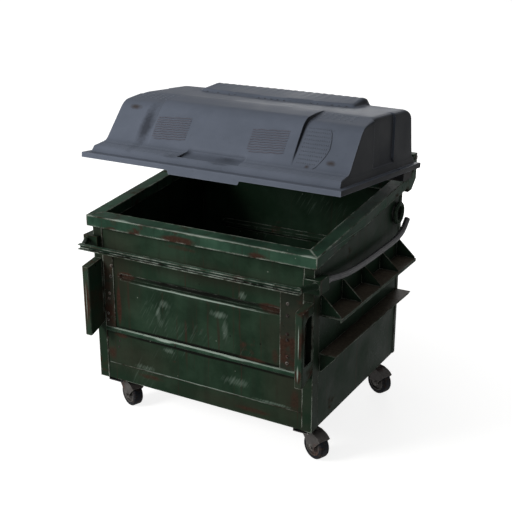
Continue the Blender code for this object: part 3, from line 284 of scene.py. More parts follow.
def stained(tree, place, colour, coats):
    """The colour under coats of patches, each with its spots, breakup, low and high end, share and tone."""
    for spots, breakup, low, high, share, tone in coats:
        if spots:
            cover = patches(tree, place, spots, breakup, low, high)
            cover = add(tree, 'Math', {0: cover, 1: share}, operation='MULTIPLY')
            colour = add(tree, 'Mix', {0: cover, 6: colour, 7: linear(tone)}, data_type='RGBA')
    return colour


def worn_enamel(name, paint, faded, seed, rust_level=0.50, chip_light=0.8, gloss=0.42, edge=10 * MM,
                rusty=(), rubbed=(), film=(), shade_bands=(), wear_and_highlight_lips=(), settled=0.0, shade_in_crevices=0.85):
    """Alkyd enamel brushed on sheet steel: semi-gloss, chipped to pale metal at edges, bleeding rust."""
    material, tree, shader = blank(name, 0.025)
    place = add(tree, 'TexCoord').outputs['Object']
    here = add(tree, 'Mapping', {'Vector': place, 'Location': (seed, 1.7 * seed, 0.6 * seed)})
    # Sun-bleached clouds, a hand's breadth to half a metre across
    clouds = add(tree, 'TexNoise', {'Vector': here, 'Scale': 3.4, 'Detail': 5.0, 'Roughness': 0.58})
    bleach = add(tree, 'MapRange', {'Value': clouds, 'From Min': 0.42, 'From Max': 0.68})
    colour = add(tree, 'Mix', {0: bleach, 6: linear(paint), 7: linear(faded)}, data_type='RGBA')
    # Runs of dirt down the wall, 20 to 60 mm wide, and thin rusty runs 5 to 15 mm wide
    for size, detail, low, high, most, tone in (((15.0, 15.0, 1.3), 4.0, 0.50, 0.72, 0.30, '#1d1b17'),
                                                ((46.0, 46.0, 0.9), 2.0, 0.64, 0.72, 0.7, '#32241d')):
        tall = add(tree, 'Mapping', {'Vector': here, 'Scale': size})
        runs = add(tree, 'TexNoise', {'Vector': tall, 'Scale': 1.0, 'Detail': detail})
        dirty = add(tree, 'MapRange', {'Value': runs, 'From Min': low, 'From Max': high, 'To Max': most})
        colour = add(tree, 'Mix', {0: dirty, 6: colour, 7: linear(tone)}, data_type='RGBA')
    # Scuffs from other steel: bundles of pale strokes that lean to the right going down
    lean = add(tree, 'Mapping', {'Vector': here, 'Rotation': (0.0, math.radians(28), 0.0),
                                 'Scale': (9 * MM, 9 * MM, 0.16)}, vector_type='TEXTURE')
    strokes = add(tree, 'TexNoise', {'Vector': lean, 'Scale': 1.0, 'Detail': 3.0})
    bundles = add(tree, 'TexNoise', {'Vector': here, 'Scale': 2.3, 'Detail': 2.0, 'Roughness': 0.4})
    in_bundle = add(tree, 'MapRange', {'Value': bundles, 'From Min': 0.56, 'From Max': 0.66})
    stroke = add(tree, 'MapRange', {'Value': strokes, 'From Min': 0.56, 'From Max': 0.72, 'To Max': 0.45})
    scuff = add(tree, 'Math', {0: in_bundle, 1: stroke}, operation='MULTIPLY')
    colour = add(tree, 'Mix', {0: scuff, 6: colour, 7: linear('#5c6a60')}, data_type='RGBA')
    # Rust where the paint has let water in, thickest along edges
    chips, near_edge = edge_mask(tree, edge, here)
    spread = add(tree, 'TexNoise', {'Vector': here, 'Scale': 4.6, 'Detail': 9.0, 'Roughness': 0.68})
    # A thin brown film carried by rain, black painted shade in the pressed groove and along the ledge, and broad
    # pale rubs with painted highlights on the dents
    colour = stained(tree, place, colour, ((film, clouds, 0.55, 1.6, 0.55, '#2e2720'),
                                           (shade_bands, clouds, 0.6, 1.1, 0.92, '#0c0b09'),
                                           (rubbed, strokes, 0.85, 1.5, 0.75, '#6d7b70')))
    reach = add(tree, 'Math', {0: near_edge, 1: 0.20, 2: spread}, operation='MULTIPLY_ADD')
    rust = add(tree, 'MapRange', {'Value': reach, 'From Min': 1.10 - rust_level,
                                  'From Max': 1.20 - rust_level})
    if rusty:
        bled = patches(tree, place, rusty, spread, 0.95, 1.25)
        rust = add(tree, 'Math', {0: rust, 1: bled}, operation='MAXIMUM')
    grain = add(tree, 'TexNoise', {'Vector': here, 'Scale': 60.0, 'Detail': 3.0})
    ochre = add(tree, 'Mix', {0: grain, 6: linear('#1e1512'), 7: linear('#473329')}, data_type='RGBA')
    colour = add(tree, 'Mix', {0: rust, 6: colour, 7: ochre}, data_type='RGBA')
    if settled:
        # Dust and rust crumbs that settle on what faces up
        sides = add(tree, 'SeparateXYZ', {0: add(tree, 'NewGeometry').outputs['Normal']})
        level = add(tree, 'MapRange', {'Value': sides.outputs['Z'], 'From Min': 0.2, 'From Max': 0.6,
                                       'To Max': settled})
        crumbs = add(tree, 'Mix', {0: grain, 6: linear('#322c26'), 7: linear('#756a5e')}, data_type='RGBA')
        colour = add(tree, 'Mix', {0: level, 6: colour, 7: crumbs}, data_type='RGBA')
    # Painted shade in hollows and where parts meet
    colour = painted_crevice_shade(tree, colour, 0.07, '#0b0b09', shade_in_crevices)
    # Lips worn pale, and painted highlights along some lip edges, then bare metal along the sharpest edges
    colour = stained(tree, place, colour, ((wear_and_highlight_lips, spread, 0.75, 1.25, 1.0, '#8b998e'),))
    bright = add(tree, 'Math', {0: chips, 1: chip_light}, operation='MULTIPLY')
    colour = add(tree, 'Mix', {0: bright, 6: colour, 7: linear('#9aa297')}, data_type='RGBA')
    # Stone chips down to pale primer, 3 to 6 mm across, in one cell of three
    chip = add(tree, 'TexVoronoi', {'Vector': here, 'Scale': 12.0, 'Randomness': 1.0}, feature='F1')
    primer = add(tree, 'MapRange', {'Value': chip, 'From Min': 0.058, 'From Max': 0.030, 'To Max': 0.7})
    cell = add(tree, 'SeparateXYZ', {0: chip.outputs['Color']})
    chosen = add(tree, 'Math', {0: cell, 1: 0.66}, operation='GREATER_THAN')
    primer = add(tree, 'Math', {0: primer, 1: chosen}, operation='MULTIPLY')
    colour = add(tree, 'Mix', {0: primer, 6: colour, 7: linear('#9aa095')}, data_type='RGBA')
    # Small dents the size of a fingertip, painted near black inside as painted shade
    dimple = add(tree, 'TexVoronoi', {'Vector': here, 'Scale': 7.0, 'Randomness': 1.0}, feature='F1')
    pit = add(tree, 'MapRange', {'Value': dimple, 'From Min': 0.035, 'From Max': 0.065})
    colour = add(tree, 'Mix', {0: pit, 6: linear('#0d0f0c'), 7: colour}, data_type='RGBA')
    rough = add(tree, 'MapRange', {'Value': clouds, 'From Min': 0.3, 'From Max': 0.7,
                                   'To Min': gloss - 0.08, 'To Max': gloss + 0.16})
    rough = add(tree, 'Mix', {0: rust, 2: rough, 3: 0.85}, data_type='FLOAT')
    height = add(tree, 'Math', {0: rust, 1: grain}, operation='MULTIPLY')
    ripple = add(tree, 'TexNoise', {'Vector': here, 'Scale': 14.0, 'Detail': 2.0})
    surface = add(tree, 'Math', {0: ripple, 1: 1.2, 2: height}, operation='MULTIPLY_ADD')
    sunk = add(tree, 'Math', {0: pit, 1: 2.0, 2: surface}, operation='MULTIPLY_ADD')
    round_edge = add(tree, 'Bevel', {'Radius': 2 * MM}, samples=4)
    relief = add(tree, 'Bump', {'Height': sunk, 'Distance': 1.2 * MM, 'Strength': 0.8, 'Normal': round_edge})
    fill(tree, shader, {'Base Color': colour, 'Roughness': rough, 'Normal': relief})
    return material


def moulded_polyethylene(name, base, pale, gloss, painted_shade=(), stains=()):
    """Rotomoulded polyethylene: waxy, finely pebbled, with painted shade in its hollows and on its sideways faces,
    and a few scuffs.
    """
    material, tree, shader = blank(name, 0.04)
    place = add(tree, 'TexCoord').outputs['Object']
    clouds = add(tree, 'TexNoise', {'Vector': place, 'Scale': 2.6, 'Detail': 5.0, 'Roughness': 0.6})
    fade = add(tree, 'MapRange', {'Value': clouds, 'From Min': 0.35, 'From Max': 0.70})
    colour = add(tree, 'Mix', {0: fade, 6: linear(base), 7: linear(pale)}, data_type='RGBA')
    specks = add(tree, 'TexNoise', {'Vector': place, 'Scale': 26.0, 'Detail': 6.0, 'Roughness': 0.75})
    grit = add(tree, 'MapRange', {'Value': specks, 'From Min': 0.66, 'From Max': 0.78, 'To Max': 0.35})
    colour = add(tree, 'Mix', {0: grit, 6: colour, 7: linear('#3c3d3f')}, data_type='RGBA')
    # Painted shade in patches, then brown stains
    colour = stained(tree, place, colour, ((painted_shade, specks, 0.60, 1.40, 0.85, '#33363d'),
                                           (stains, specks, 0.60, 1.40, 0.8, '#372e27')))
    # Painted shade on the faces that point sideways
    sides = add(tree, 'SeparateXYZ', {0: add(tree, 'NewGeometry').outputs['Normal']})
    upright = add(tree, 'Math', {0: sides}, operation='ABSOLUTE')
    side_shade = add(tree, 'MapRange', {'Value': upright, 'From Min': 0.45, 'From Max': 0.85, 'To Max': 0.9})
    colour = add(tree, 'Mix', {0: side_shade, 6: colour, 7: linear('#0f1012')}, data_type='RGBA')
    # Painted shade in hollows and where parts meet
    colour = painted_crevice_shade(tree, colour, 0.05, '#141416', 0.9)
    # Paler along the moulded edges: partly rubbing, partly a painted highlight
    near_edge = edge_mask(tree, 9 * MM, place)[1]
    rubbed = add(tree, 'Math', {0: near_edge, 1: 0.5}, operation='MULTIPLY')
    colour = add(tree, 'Mix', {0: rubbed, 6: colour, 7: linear('#7d838d')}, data_type='RGBA')
    rough = add(tree, 'MapRange', {'Value': clouds, 'From Min': 0.3, 'From Max': 0.7,
                                   'To Min': gloss - 0.05, 'To Max': gloss + 0.12})
    # A pebbled skin about 4 mm across
    pebble = add(tree, 'TexNoise', {'Vector': place, 'Scale': 180.0, 'Detail': 2.0})
    relief = add(tree, 'Bump', {'Height': pebble, 'Distance': 0.4 * MM, 'Strength': 0.5})
    fill(tree, shader, {'Base Color': colour, 'Roughness': rough, 'Normal': relief})
    return material


def weathered_steel(name, dark, light, rust_level, gloss=0.5, metal=0.6):
    """Bare mild steel left outside: grey-brown, with bright rubbed specks and powdery rust."""
    material, tree, shader = blank(name, 0.15)
    place = add(tree, 'TexCoord').outputs['Object']
    mottle = add(tree, 'TexNoise', {'Vector': place, 'Scale': 22.0, 'Detail': 7.0, 'Roughness': 0.7})
    colour = add(tree, 'Mix', {0: mottle, 6: linear(dark), 7: linear(light)}, data_type='RGBA')
    spread = add(tree, 'TexNoise', {'Vector': place, 'Scale': 6.0, 'Detail': 8.0, 'Roughness': 0.7})
    rust = add(tree, 'MapRange', {'Value': spread, 'From Min': 1.02 - rust_level,
                                  'From Max': 1.14 - rust_level})
    colour = add(tree, 'Mix', {0: rust, 6: colour, 7: linear('#4a322a')}, data_type='RGBA')
    chips = edge_mask(tree, 7 * MM, place)[0]
    colour = add(tree, 'Mix', {0: chips, 6: colour, 7: linear('#8a8882')}, data_type='RGBA')
    bare = add(tree, 'MapRange', {'Value': rust, 'To Min': metal, 'To Max': 0.0})
    rough = add(tree, 'MapRange', {'Value': rust, 'To Min': gloss, 'To Max': 0.88})
    round_edge = add(tree, 'Bevel', {'Radius': 1.5 * MM}, samples=4)
    relief = add(tree, 'Bump', {'Height': mottle, 'Distance': 1.0 * MM, 'Strength': 0.6, 'Normal': round_edge})
    fill(tree, shader, {'Base Color': colour, 'Metallic': bare, 'Roughness': rough, 'Normal': relief})
    return material


def rubber(name, base, dust, gloss):
    """Vulcanised rubber: near black, dull, with pale brown dirt rubbed into it."""
    material, tree, shader = blank(name, 0.12)
    place = add(tree, 'TexCoord').outputs['Object']
    dirt = add(tree, 'TexNoise', {'Vector': place, 'Scale': 30.0, 'Detail': 6.0, 'Roughness': 0.7})
    patch = add(tree, 'MapRange', {'Value': dirt, 'From Min': 0.50, 'From Max': 0.66, 'To Max': 0.7})
    colour = add(tree, 'Mix', {0: patch, 6: linear(base), 7: linear(dust)}, data_type='RGBA')
    rough = add(tree, 'MapRange', {'Value': dirt, 'To Min': gloss - 0.1, 'To Max': gloss + 0.3})
    relief = add(tree, 'Bump', {'Height': dirt, 'Distance': 0.8 * MM, 'Strength': 0.5})
    fill(tree, shader, {'Base Color': colour, 'Roughness': rough, 'Normal': relief})
    return material


def deselect():
    """Leaves nothing selected."""
    bpy.ops.object.select_all(action='DESELECT')


def take(piece):
    """Makes a piece the only one selected, and the active one."""
    deselect()
    piece.select_set(True)
    bpy.context.view_layer.objects.active = piece


def settle(piece, material, body, slot, *nodes):
    """Gives a finished piece its material and its body, and hides the nodes it stands for; the finish slot
    argument is not used.
    """
    piece.data.materials.clear()
    piece.data.materials.append(material)
    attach(piece, body)
    if nodes:
        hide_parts(*nodes)
    return piece


def grid_piece(name, columns, rows, place):
    """A grid whose point in column i and row j is put at place(i, j)."""
    across = columns - 1
    along = rows - 1
    deselect()
    bpy.ops.mesh.primitive_grid_add(x_subdivisions=across, y_subdivisions=along, size=2)
    piece = bpy.context.object
    piece.name = name
    for vert in piece.data.vertices:
        i = round((vert.co.x + 1) / 2 * across)
        j = round((vert.co.y + 1) / 2 * along)
        vert.co = place(i, j)
    return piece


def thicken(piece, wall, angle=40):
    """Merges what meets, gives a sheet its wall behind its face and shades its bends smooth."""
    take(piece)
    bpy.ops.object.mode_set(mode='EDIT')
    bpy.ops.mesh.select_all(action='SELECT')
    bpy.ops.mesh.remove_doubles(threshold=0.2 * MM)
    bpy.ops.object.mode_set(mode='OBJECT')
    sheet = piece.modifiers.new('wall', 'SOLIDIFY')
    sheet.thickness = wall
    sheet.offset = -1
    bpy.ops.object.modifier_apply(modifier='wall')
    bpy.ops.object.shade_smooth_by_angle(angle=math.radians(angle))
    return piece


def set_out(template, name, turns):
    """Copies a small piece to each place as one mesh, and removes the first."""
    merged = bmesh.new()
    for turn in turns:
        copy = template.data.copy()
        copy.transform(turn)
        merged.from_mesh(copy)
        bpy.data.meshes.remove(copy)
    mesh = bpy.data.meshes.new(name)
    merged.to_mesh(mesh)
    merged.free()
    bpy.data.objects.remove(template, do_unlink=True)
    piece = bpy.data.objects.new(name, mesh)
    bpy.context.scene.collection.objects.link(piece)
    return piece


def facing(place, normal, size=(1, 1, 1), roll=0.0):
    """The turn that stands a piece on a face, with its Z along the normal."""
    stand = Vector(normal).to_track_quat('Z', 'Y').to_matrix().to_4x4()
    return (Matrix.Translation(Vector(place)) @ stand @ Matrix.Rotation(roll, 4, 'Z')
            @ Matrix.Diagonal((*size, 1)))


def soft(value, start, stop):
    """0 before start and 1 past stop, with an even curve between."""
    share = min(max((value - start) / (stop - start), 0.0), 1.0)
    return share * share * (3.0 - 2.0 * share)


def between(value, half, draft):
    """1 inside plus or minus half, 0 outside, with a curve of the draft on either side."""
    return soft(half + draft - abs(value), 0.0, 2 * draft)


def interpolate(table, place):
    """Straight-line value of a table of places and values."""
    places = [entry[0] for entry in table]
    i = min(max(bisect.bisect_right(places, place), 1), len(table) - 1)
    (a, low), (b, high) = table[i - 1], table[i]
    return low + (high - low) * min(max((place - a) / max(b - a, 1e-9), 0.0), 1.0)


def rounded(corners, bends, steps=4):
    """A line with each inner corner turned into a small curve of its own bend."""
    points = [Vector(corner) for corner in corners]
    line = [points[0]]
    for before, corner, after, bend in zip(points, points[1:], points[2:], bends):
        start = corner + (before - corner).normalized() * min(bend, 0.45 * (before - corner).length)
        stop = corner + (after - corner).normalized() * min(bend, 0.45 * (after - corner).length)
        for i in range(steps + 1):
            t = i / steps
            line.append(start * (1 - t) ** 2 + corner * 2 * t * (1 - t) + stop * t * t)
    line.append(points[-1])
    return line


def spread(line, spacings, places=()):
    """The same line with points no further apart than the spacing for their place, and at given places."""
    dense = [line[0]]
    for start, stop in zip(line, line[1:]):
        spacing = interpolate(spacings, start[0])
        count = max(1, math.ceil((stop - start).length / spacing))
        dense += [start.lerp(stop, i / count) for i in range(1, count + 1)]
    for place in places:
        for k, (start, stop) in enumerate(zip(dense, dense[1:])):
            if start[0] + MM < place < stop[0] - MM:
                dense.insert(k + 1, start.lerp(stop, (place - start[0]) / (stop[0] - start[0])))
                break
    return dense


def lid_along():
    """The lid's outer line from the edge of its front lip to the edge of its rear lip."""
    front = -LID_FRONT
    rear = -LID_REAR
    low = LIP_TOP - LIP_DROP
    corners = [(front, low), (front, LIP_TOP), (front + FRONT_LIP, LIP_TOP), (front + FRONT_STEP, STEP_TOP),
               (front + SLOPE_FOOT, SLOPE_FOOT_TOP), (front + SLOPE_END, SLOPE_TOP),
               (front + SHOULDER, SHOULDER_TOP), (front + BROW, BROW_TOP), (rear - REAR_ROUND, DOME_TOP),
               (rear - REAR_WALL, DOME_TOP - 2 * ROUND_DROP), (rear - REAR_FOOT, STEP_TOP + FOOT_RISE),
               (rear - REAR_STEP, STEP_TOP), (rear - REAR_LIP, LIP_TOP), (rear, LIP_TOP), (rear, low)]
    bends = [LIP_BEND, LIP_BEND, LIP_BEND, FORM_BEND, FORM_BEND, FORM_BEND, FORM_BEND, 2 * FORM_BEND,
             FORM_BEND, FORM_BEND, LIP_BEND, LIP_BEND, LIP_BEND]
    spacings = ((front, APRON_STEP), (front + SLOPE_FOOT, APRON_STEP), (front + SLOPE_FOOT + MM, SKIN_STEP),
                (rear, SKIN_STEP))
    edges = [-place + hand * RECESS_DRAFT for place in (RECESS_FRONT, RECESS_REAR) for hand in (-1, 0, 1)]
    return spread(rounded(corners, bends), spacings, edges)


def lid_across():
    """The lid's outer line from its left lip to its right lip."""
    low = LIP_TOP - LIP_DROP
    corners = [(LID_HALF, low), (LID_HALF, LIP_TOP), (LID_HALF - SIDE_LIP, LIP_TOP),
               (LID_HALF - SIDE_STEP, STEP_TOP), (LID_HALF - SIDE_FOOT, STEP_TOP + FOOT_RISE),
               (LID_HALF - SIDE_WALL, DOME_TOP - ROUND_DROP), (LID_HALF - SIDE_ROUND, DOME_TOP),
               (0.0, DOME_TOP + CAMBER)]
    bends = [LIP_BEND, LIP_BEND, LIP_BEND, LIP_BEND, FORM_BEND, FORM_BEND]
    right = rounded(corners, bends)
    left = [Vector((-x, z)) for x, z in right]
    edges = [middle + hand * (half + offset) for middle, half in
             ((PANEL_MIDDLE, PANEL_HALF), (0.0, CROWN_HALF), (0.0, HANDLE_HALF), (PANEL_MIDDLE, PAD_HALF),
              (NOTCH_MIDDLE, NOTCH_HALF)) for hand in (1, -1) for offset in (-0.006, -0.002, 0.002, 0.006)]
    return spread(left + list(reversed(right[:-1])), ((-LID_HALF, SKIN_STEP), (LID_HALF, SKIN_STEP)), edges)


def smooth_lower(a, b):
    """The lower of two heights, with a round turn from one to the other above the lid's step."""
    blend = CORNER_BLEND * soft(min(a, b), 0.05, 0.15)
    if blend < MM:
        return min(a, b)
    near = max(blend - abs(a - b), 0.0) / blend
    return min(a, b) - near * near * blend / 4


def lid_relief(x, run):
    """How far the moulded forms stand out of the lid's face, at a place across and a run from the front."""
    panel = between(x - PANEL_MIDDLE, PANEL_HALF, PANEL_DRAFT) * interpolate(PANEL_SHARES,
                                                                             (run - SLOPE_FOOT) / PANEL_LENGTH)
    pad = (between(x - PANEL_MIDDLE, PAD_HALF - PAD_TAPER * (run - PAD_START), PAD_DRAFT)
           * soft(run, PAD_START, PAD_START + PAD_DRAFT)
           * (1 - soft(run, PAD_END - PAD_DRAFT, PAD_END + PAD_DRAFT)))
    on_apron = soft(run, FRONT_STEP, FRONT_STEP + 0.01) * (1 - soft(run, SLOPE_FOOT - 0.02, SLOPE_FOOT))
    ridge = on_apron * (1 - pad) * math.sin(2 * math.pi * (run - FRONT_STEP) / RIDGE_PITCH)
    return PANEL_PROUD * panel - PAD_DEPTH * pad + RIDGE_HEIGHT * ridge


def crown_rise(x, y):
    """Height of the raised crown at the back of the lid."""
    start = -CROWN_FRONT - LID_REAR + CROWN_ARCH * (x / CROWN_HALF) ** 2
    crest = -CROWN_CREST
    rise = CROWN_STEP_SHARE * soft(y, start, start + CROWN_DRAFT)
    rise += (1 - CROWN_STEP_SHARE) * min(max((y - start) / (crest - start), 0.0), 1.0)
    back = 1 - soft(y, -LID_REAR - REAR_WALL, -LID_REAR - REAR_FOOT)
    ribs = 1 + 0.03 * math.cos(2 * math.pi * x / 0.062) * soft(y, start + 0.07, start + 0.12)
    return CROWN_RAISE * between(x, CROWN_HALF, CROWN_DRAFT) * rise * back * ribs


def side_recess(x, height, y):
    """How far the lid's side is drawn in, between its front corner and its rear post."""
    on_wall = soft(height, 0.050, 0.075) * soft(abs(x), LID_HALF - SIDE_ROUND - 0.03, LID_HALF - SIDE_ROUND)
    return (SIDE_RECESS * on_wall * soft(y, -RECESS_FRONT - RECESS_DRAFT, -RECESS_FRONT + RECESS_DRAFT)
            * soft(-y, RECESS_REAR - RECESS_DRAFT, RECESS_REAR + RECESS_DRAFT))


ALONG = lid_along()
ACROSS = lid_across()


def lid_place(x, height_across, y, height_along, normal):
    """A place on the lid's outer face, in the world, from its two outlines."""
    run = y + LID_FRONT
    z = smooth_lower(height_across, height_along)
    on_front = soft(height_across - height_along, 0.0, 0.02)
    out = on_front * lid_relief(x, run)
    point = Vector((x - math.copysign(side_recess(x, height_across, y), x), y + normal[0] * out,
                    z + normal[1] * out + crown_rise(x, y) * soft(height_across, 0.36, 0.41)))
    if run < LIP_BEND + MM and height_along < LIP_TOP:
        handle = between(x, HANDLE_HALF, PANEL_DRAFT)
        notch = between(x - NOTCH_MIDDLE, NOTCH_HALF, 0.006)
        drop = (LIP_DROP + HANDLE_DROP * handle) * (1 - 0.72 * notch)
        point.z = min(point.z, LIP_TOP - (LIP_TOP - height_along) / LIP_DROP * drop)
    return LID_TURN @ point


def lid_on_face(x, run):
    """The place and the outward normal of the lid's upper face, for a piece that lies on it."""
    y = run - LID_FRONT
    spots = []
    for dx, dy in ((0, 0), (0.004, 0), (0, 0.004)):
        height = interpolate(ALONG_TABLE, y + dy)
        slope = interpolate(ALONG_TABLE, y + dy + 0.004) - height
        normal = Vector((-slope, 0.004)).normalized()
        spots.append(lid_place(x + dx, interpolate(ACROSS_TABLE, x + dx), y + dy, height, normal))
    return spots[0], (spots[1] - spots[0]).cross(spots[2] - spots[0]).normalized()


ALONG_TABLE = [(y, z) for y, z in ALONG if z > LIP_TOP - MM or -LID_FRONT + MM < y < -LID_REAR - MM]
ACROSS_TABLE = [(x, z) for x, z in ACROSS if abs(x) < LID_HALF - MM]


def make_lid_skin(finish):
    """The moulded lid: ridged apron, raised panel, sunk pad, dome, crown and drawn-in sides."""
    normals = []
    for before, after in zip([ALONG[0], *ALONG], [*ALONG[1:], ALONG[-1]]):
        step = (after - before).normalized()
        normals.append((-step[1], step[0]))
    skin = grid_piece('lid_skin', len(ACROSS), len(ALONG),
                      lambda i, j: lid_place(*ACROSS[i], *ALONG[j], normals[j]))
    thicken(skin, LID_SHEET)
    settle(skin, finish, 'lid', 'lid_plastic', 'lid_shell')


def tubes(name, lines, radius, sides=1):
    """Round beads along lines of places, as one mesh."""
    curve = bpy.data.curves.new(name, 'CURVE')
    curve.dimensions = '3D'
    curve.bevel_depth = radius
    curve.bevel_resolution = sides
    curve.use_fill_caps = True
    for line in lines:
        spline = curve.splines.new('POLY')
        spline.points.add(len(line) - 1)
        for point, place in zip(spline.points, line):
            point.co = (*place, 1)
    piece = bpy.data.objects.new(name, curve)
    bpy.context.scene.collection.objects.link(piece)
    take(piece)
    bpy.ops.object.convert(target='MESH')
    bpy.ops.object.mode_set(mode='EDIT')
    bpy.ops.mesh.select_all(action='SELECT')
    bpy.ops.mesh.remove_doubles(threshold=0.01 * MM)
    bpy.ops.mesh.normals_make_consistent(inside=False)
    bpy.ops.object.mode_set(mode='OBJECT')
    bpy.ops.object.shade_smooth_by_angle(angle=math.radians(60))
    return bpy.context.object


def blob(size, segments=8, rings=5):
    """A small ball, to be pressed flat and copied."""
    deselect()
    bpy.ops.mesh.primitive_uv_sphere_add(segments=segments, ring_count=rings, radius=size)
    bpy.ops.object.shade_smooth()
    return bpy.context.object


def make_lid_details(finishes):
    """Ribbed grilles, dimple field with its edge line, dashes on the brow and dots along the crown."""
    ribs = []
    for middle in GRILLE_MIDDLES:
        for k in range(GRILLE_RIBS):
            line = []
            for i in range(17):
                across = middle - GRILLE_HALF + 2 * GRILLE_HALF * i / 16
                run = (GRILLE_START + (GRILLE_END - GRILLE_START) * (k + 0.5) / GRILLE_RIBS
                       + 0.006 * (i / 8 - 1) + 0.0016 * math.sin(i * 1.3 + k))
                if GRILLE_START <= run <= GRILLE_END:
                    line.append(lid_on_face(across, run)[0])
            if len(line) > 3:
                ribs.append(line)
    settle(tubes('lid_grille_ribs', ribs, 3.2 * MM), finishes['grille'], 'lid', 'lid_plastic')
    line = [lid_on_face(x, run)[0] for x, run in FIELD_LINE]
    settle(tubes('lid_field_line', [line], 3 * MM), finishes['lid'], 'lid', 'lid_plastic')
    dimples = []
    for row in range(10):
        for column in range(12):
            x = 0.588 + 0.0165 * column + 0.004 * (row % 2)
            run = 0.246 + 0.0178 * row
            if x < 0.775 - 0.9 * max(0.300 - run, 0.0):
                dimples.append(facing(*lid_on_face(x, run), (1, 1, 0.5)))
    settle(set_out(blob(5.2 * MM), 'lid_dimples', dimples), finishes['dimple'], 'lid', 'lid_plastic')
    dashes = []
    for first, count in ((-0.955, 7), (0.605, 6)):
        for row in range(4):
            for column in range(count):
                place, normal = lid_on_face(first + 0.046 * column, 0.545 + 0.032 * row)
                dashes.append(facing(place, normal, (3.2, 1, 0.5)))
    settle(set_out(blob(4 * MM), 'lid_dashes', dashes), finishes['lid_pale'], 'lid', 'lid_plastic')
    # Dots along the crown in a dark colour: painted shade of drain holes
    dots = []
    for k in range(-11, 12):
        x = 0.054 * k
        run = LID_FRONT - LID_REAR - CROWN_FRONT + CROWN_ARCH * (x / CROWN_HALF) ** 2 + 0.004
        dots.append(facing(*lid_on_face(x, run), (2.6, 1, 0.5)))
    settle(set_out(blob(5.5 * MM), 'lid_crown_dots', dots), finishes['hole_shade'], 'lid', 'lid_plastic')


def wall_depth(x, z):
    """How far the front wall is pressed in at a place: its groove, its dents and a slow ripple."""
    beyond = max(abs(x) - GROOVE_REACH, 0.0)
    away = math.hypot(beyond, z - GROOVE_Z) / GROOVE_HALF
    groove = GROOVE_DEPTH * (1 - soft(away, 0.45, 1.0))
    dent = sum(deep * math.exp(-((x - dx) ** 2 + (z - dz) ** 2) / (size * size)) for dx, dz, size, deep in DENTS)
    ripple = 0.9 * MM * (1 + math.sin(7.3 * x + 2.1 * z) * math.cos(5.1 * z - 3.3 * x))
    margin = min(abs(x - WALL_LOW.x), abs(WALL_HIGH.x - x), z - WALL_LOW.z, WALL_HIGH.z - z)
    below = GROOVE_Z - GROOVE_HALF - z
    swell = BELLY * soft(below, 0.0, 0.035) * (1 - soft(below, 0.05, 0.33)) * (1 - soft(abs(x), 0.45, 0.64))
    return max(groove, (dent + ripple) * soft(margin, 0.01, 0.12)) - swell


def make_front_panel(finish):
    """The front wall sheet with its pressed groove and its dents."""
    columns = 150
    rows = 110
    levels = [WALL_LOW.z + (WALL_HIGH.z - WALL_LOW.z) * j / rows for j in range(rows + 1)]
    levels += [GROOVE_Z + GROOVE_HALF * (k - 9) / 7 for k in range(19)]
    levels = sorted(levels)
    across = [WALL_LOW.x + (WALL_HIGH.x - WALL_LOW.x) * i / columns for i in range(columns + 1)]
    panel = grid_piece('front_panel', len(across), len(levels), lambda i, j: Vector((
        across[i], WALL_LOW.y + wall_depth(across[i], levels[j]), levels[j])))
    thicken(panel, WALL_SHEET)
    settle(panel, finish, 'root', 'body_paint', 'front_wall')


def hex_bolt(radius, height):
    """A bolt head with a chamfered top, on a round washer."""
    deselect()
    bpy.ops.mesh.primitive_cylinder_add(vertices=6, radius=radius, depth=0.8 * height,
                                        location=(0, 0, 0.55 * height))
    head = bpy.context.object
    bpy.ops.object.mode_set(mode='EDIT')
    bpy.ops.mesh.select_mode(type='FACE')
    bpy.ops.object.mode_set(mode='OBJECT')
    for polygon in head.data.polygons:
        polygon.select = polygon.normal.z > 0.9
    bpy.ops.object.mode_set(mode='EDIT')
    bpy.ops.mesh.inset(thickness=0.16 * radius, depth=0.16 * height)
    bpy.ops.object.mode_set(mode='OBJECT')
    bpy.ops.mesh.primitive_cylinder_add(vertices=18, radius=1.5 * radius, depth=0.2 * height,
                                        location=(0, 0, 0.1 * height))
    washer = bpy.context.object
    take(head)
    washer.select_set(True)
    bpy.ops.object.transform_apply(location=True, rotation=True, scale=True)
    bpy.context.view_layer.objects.active = head
    bpy.ops.object.join()
    return head


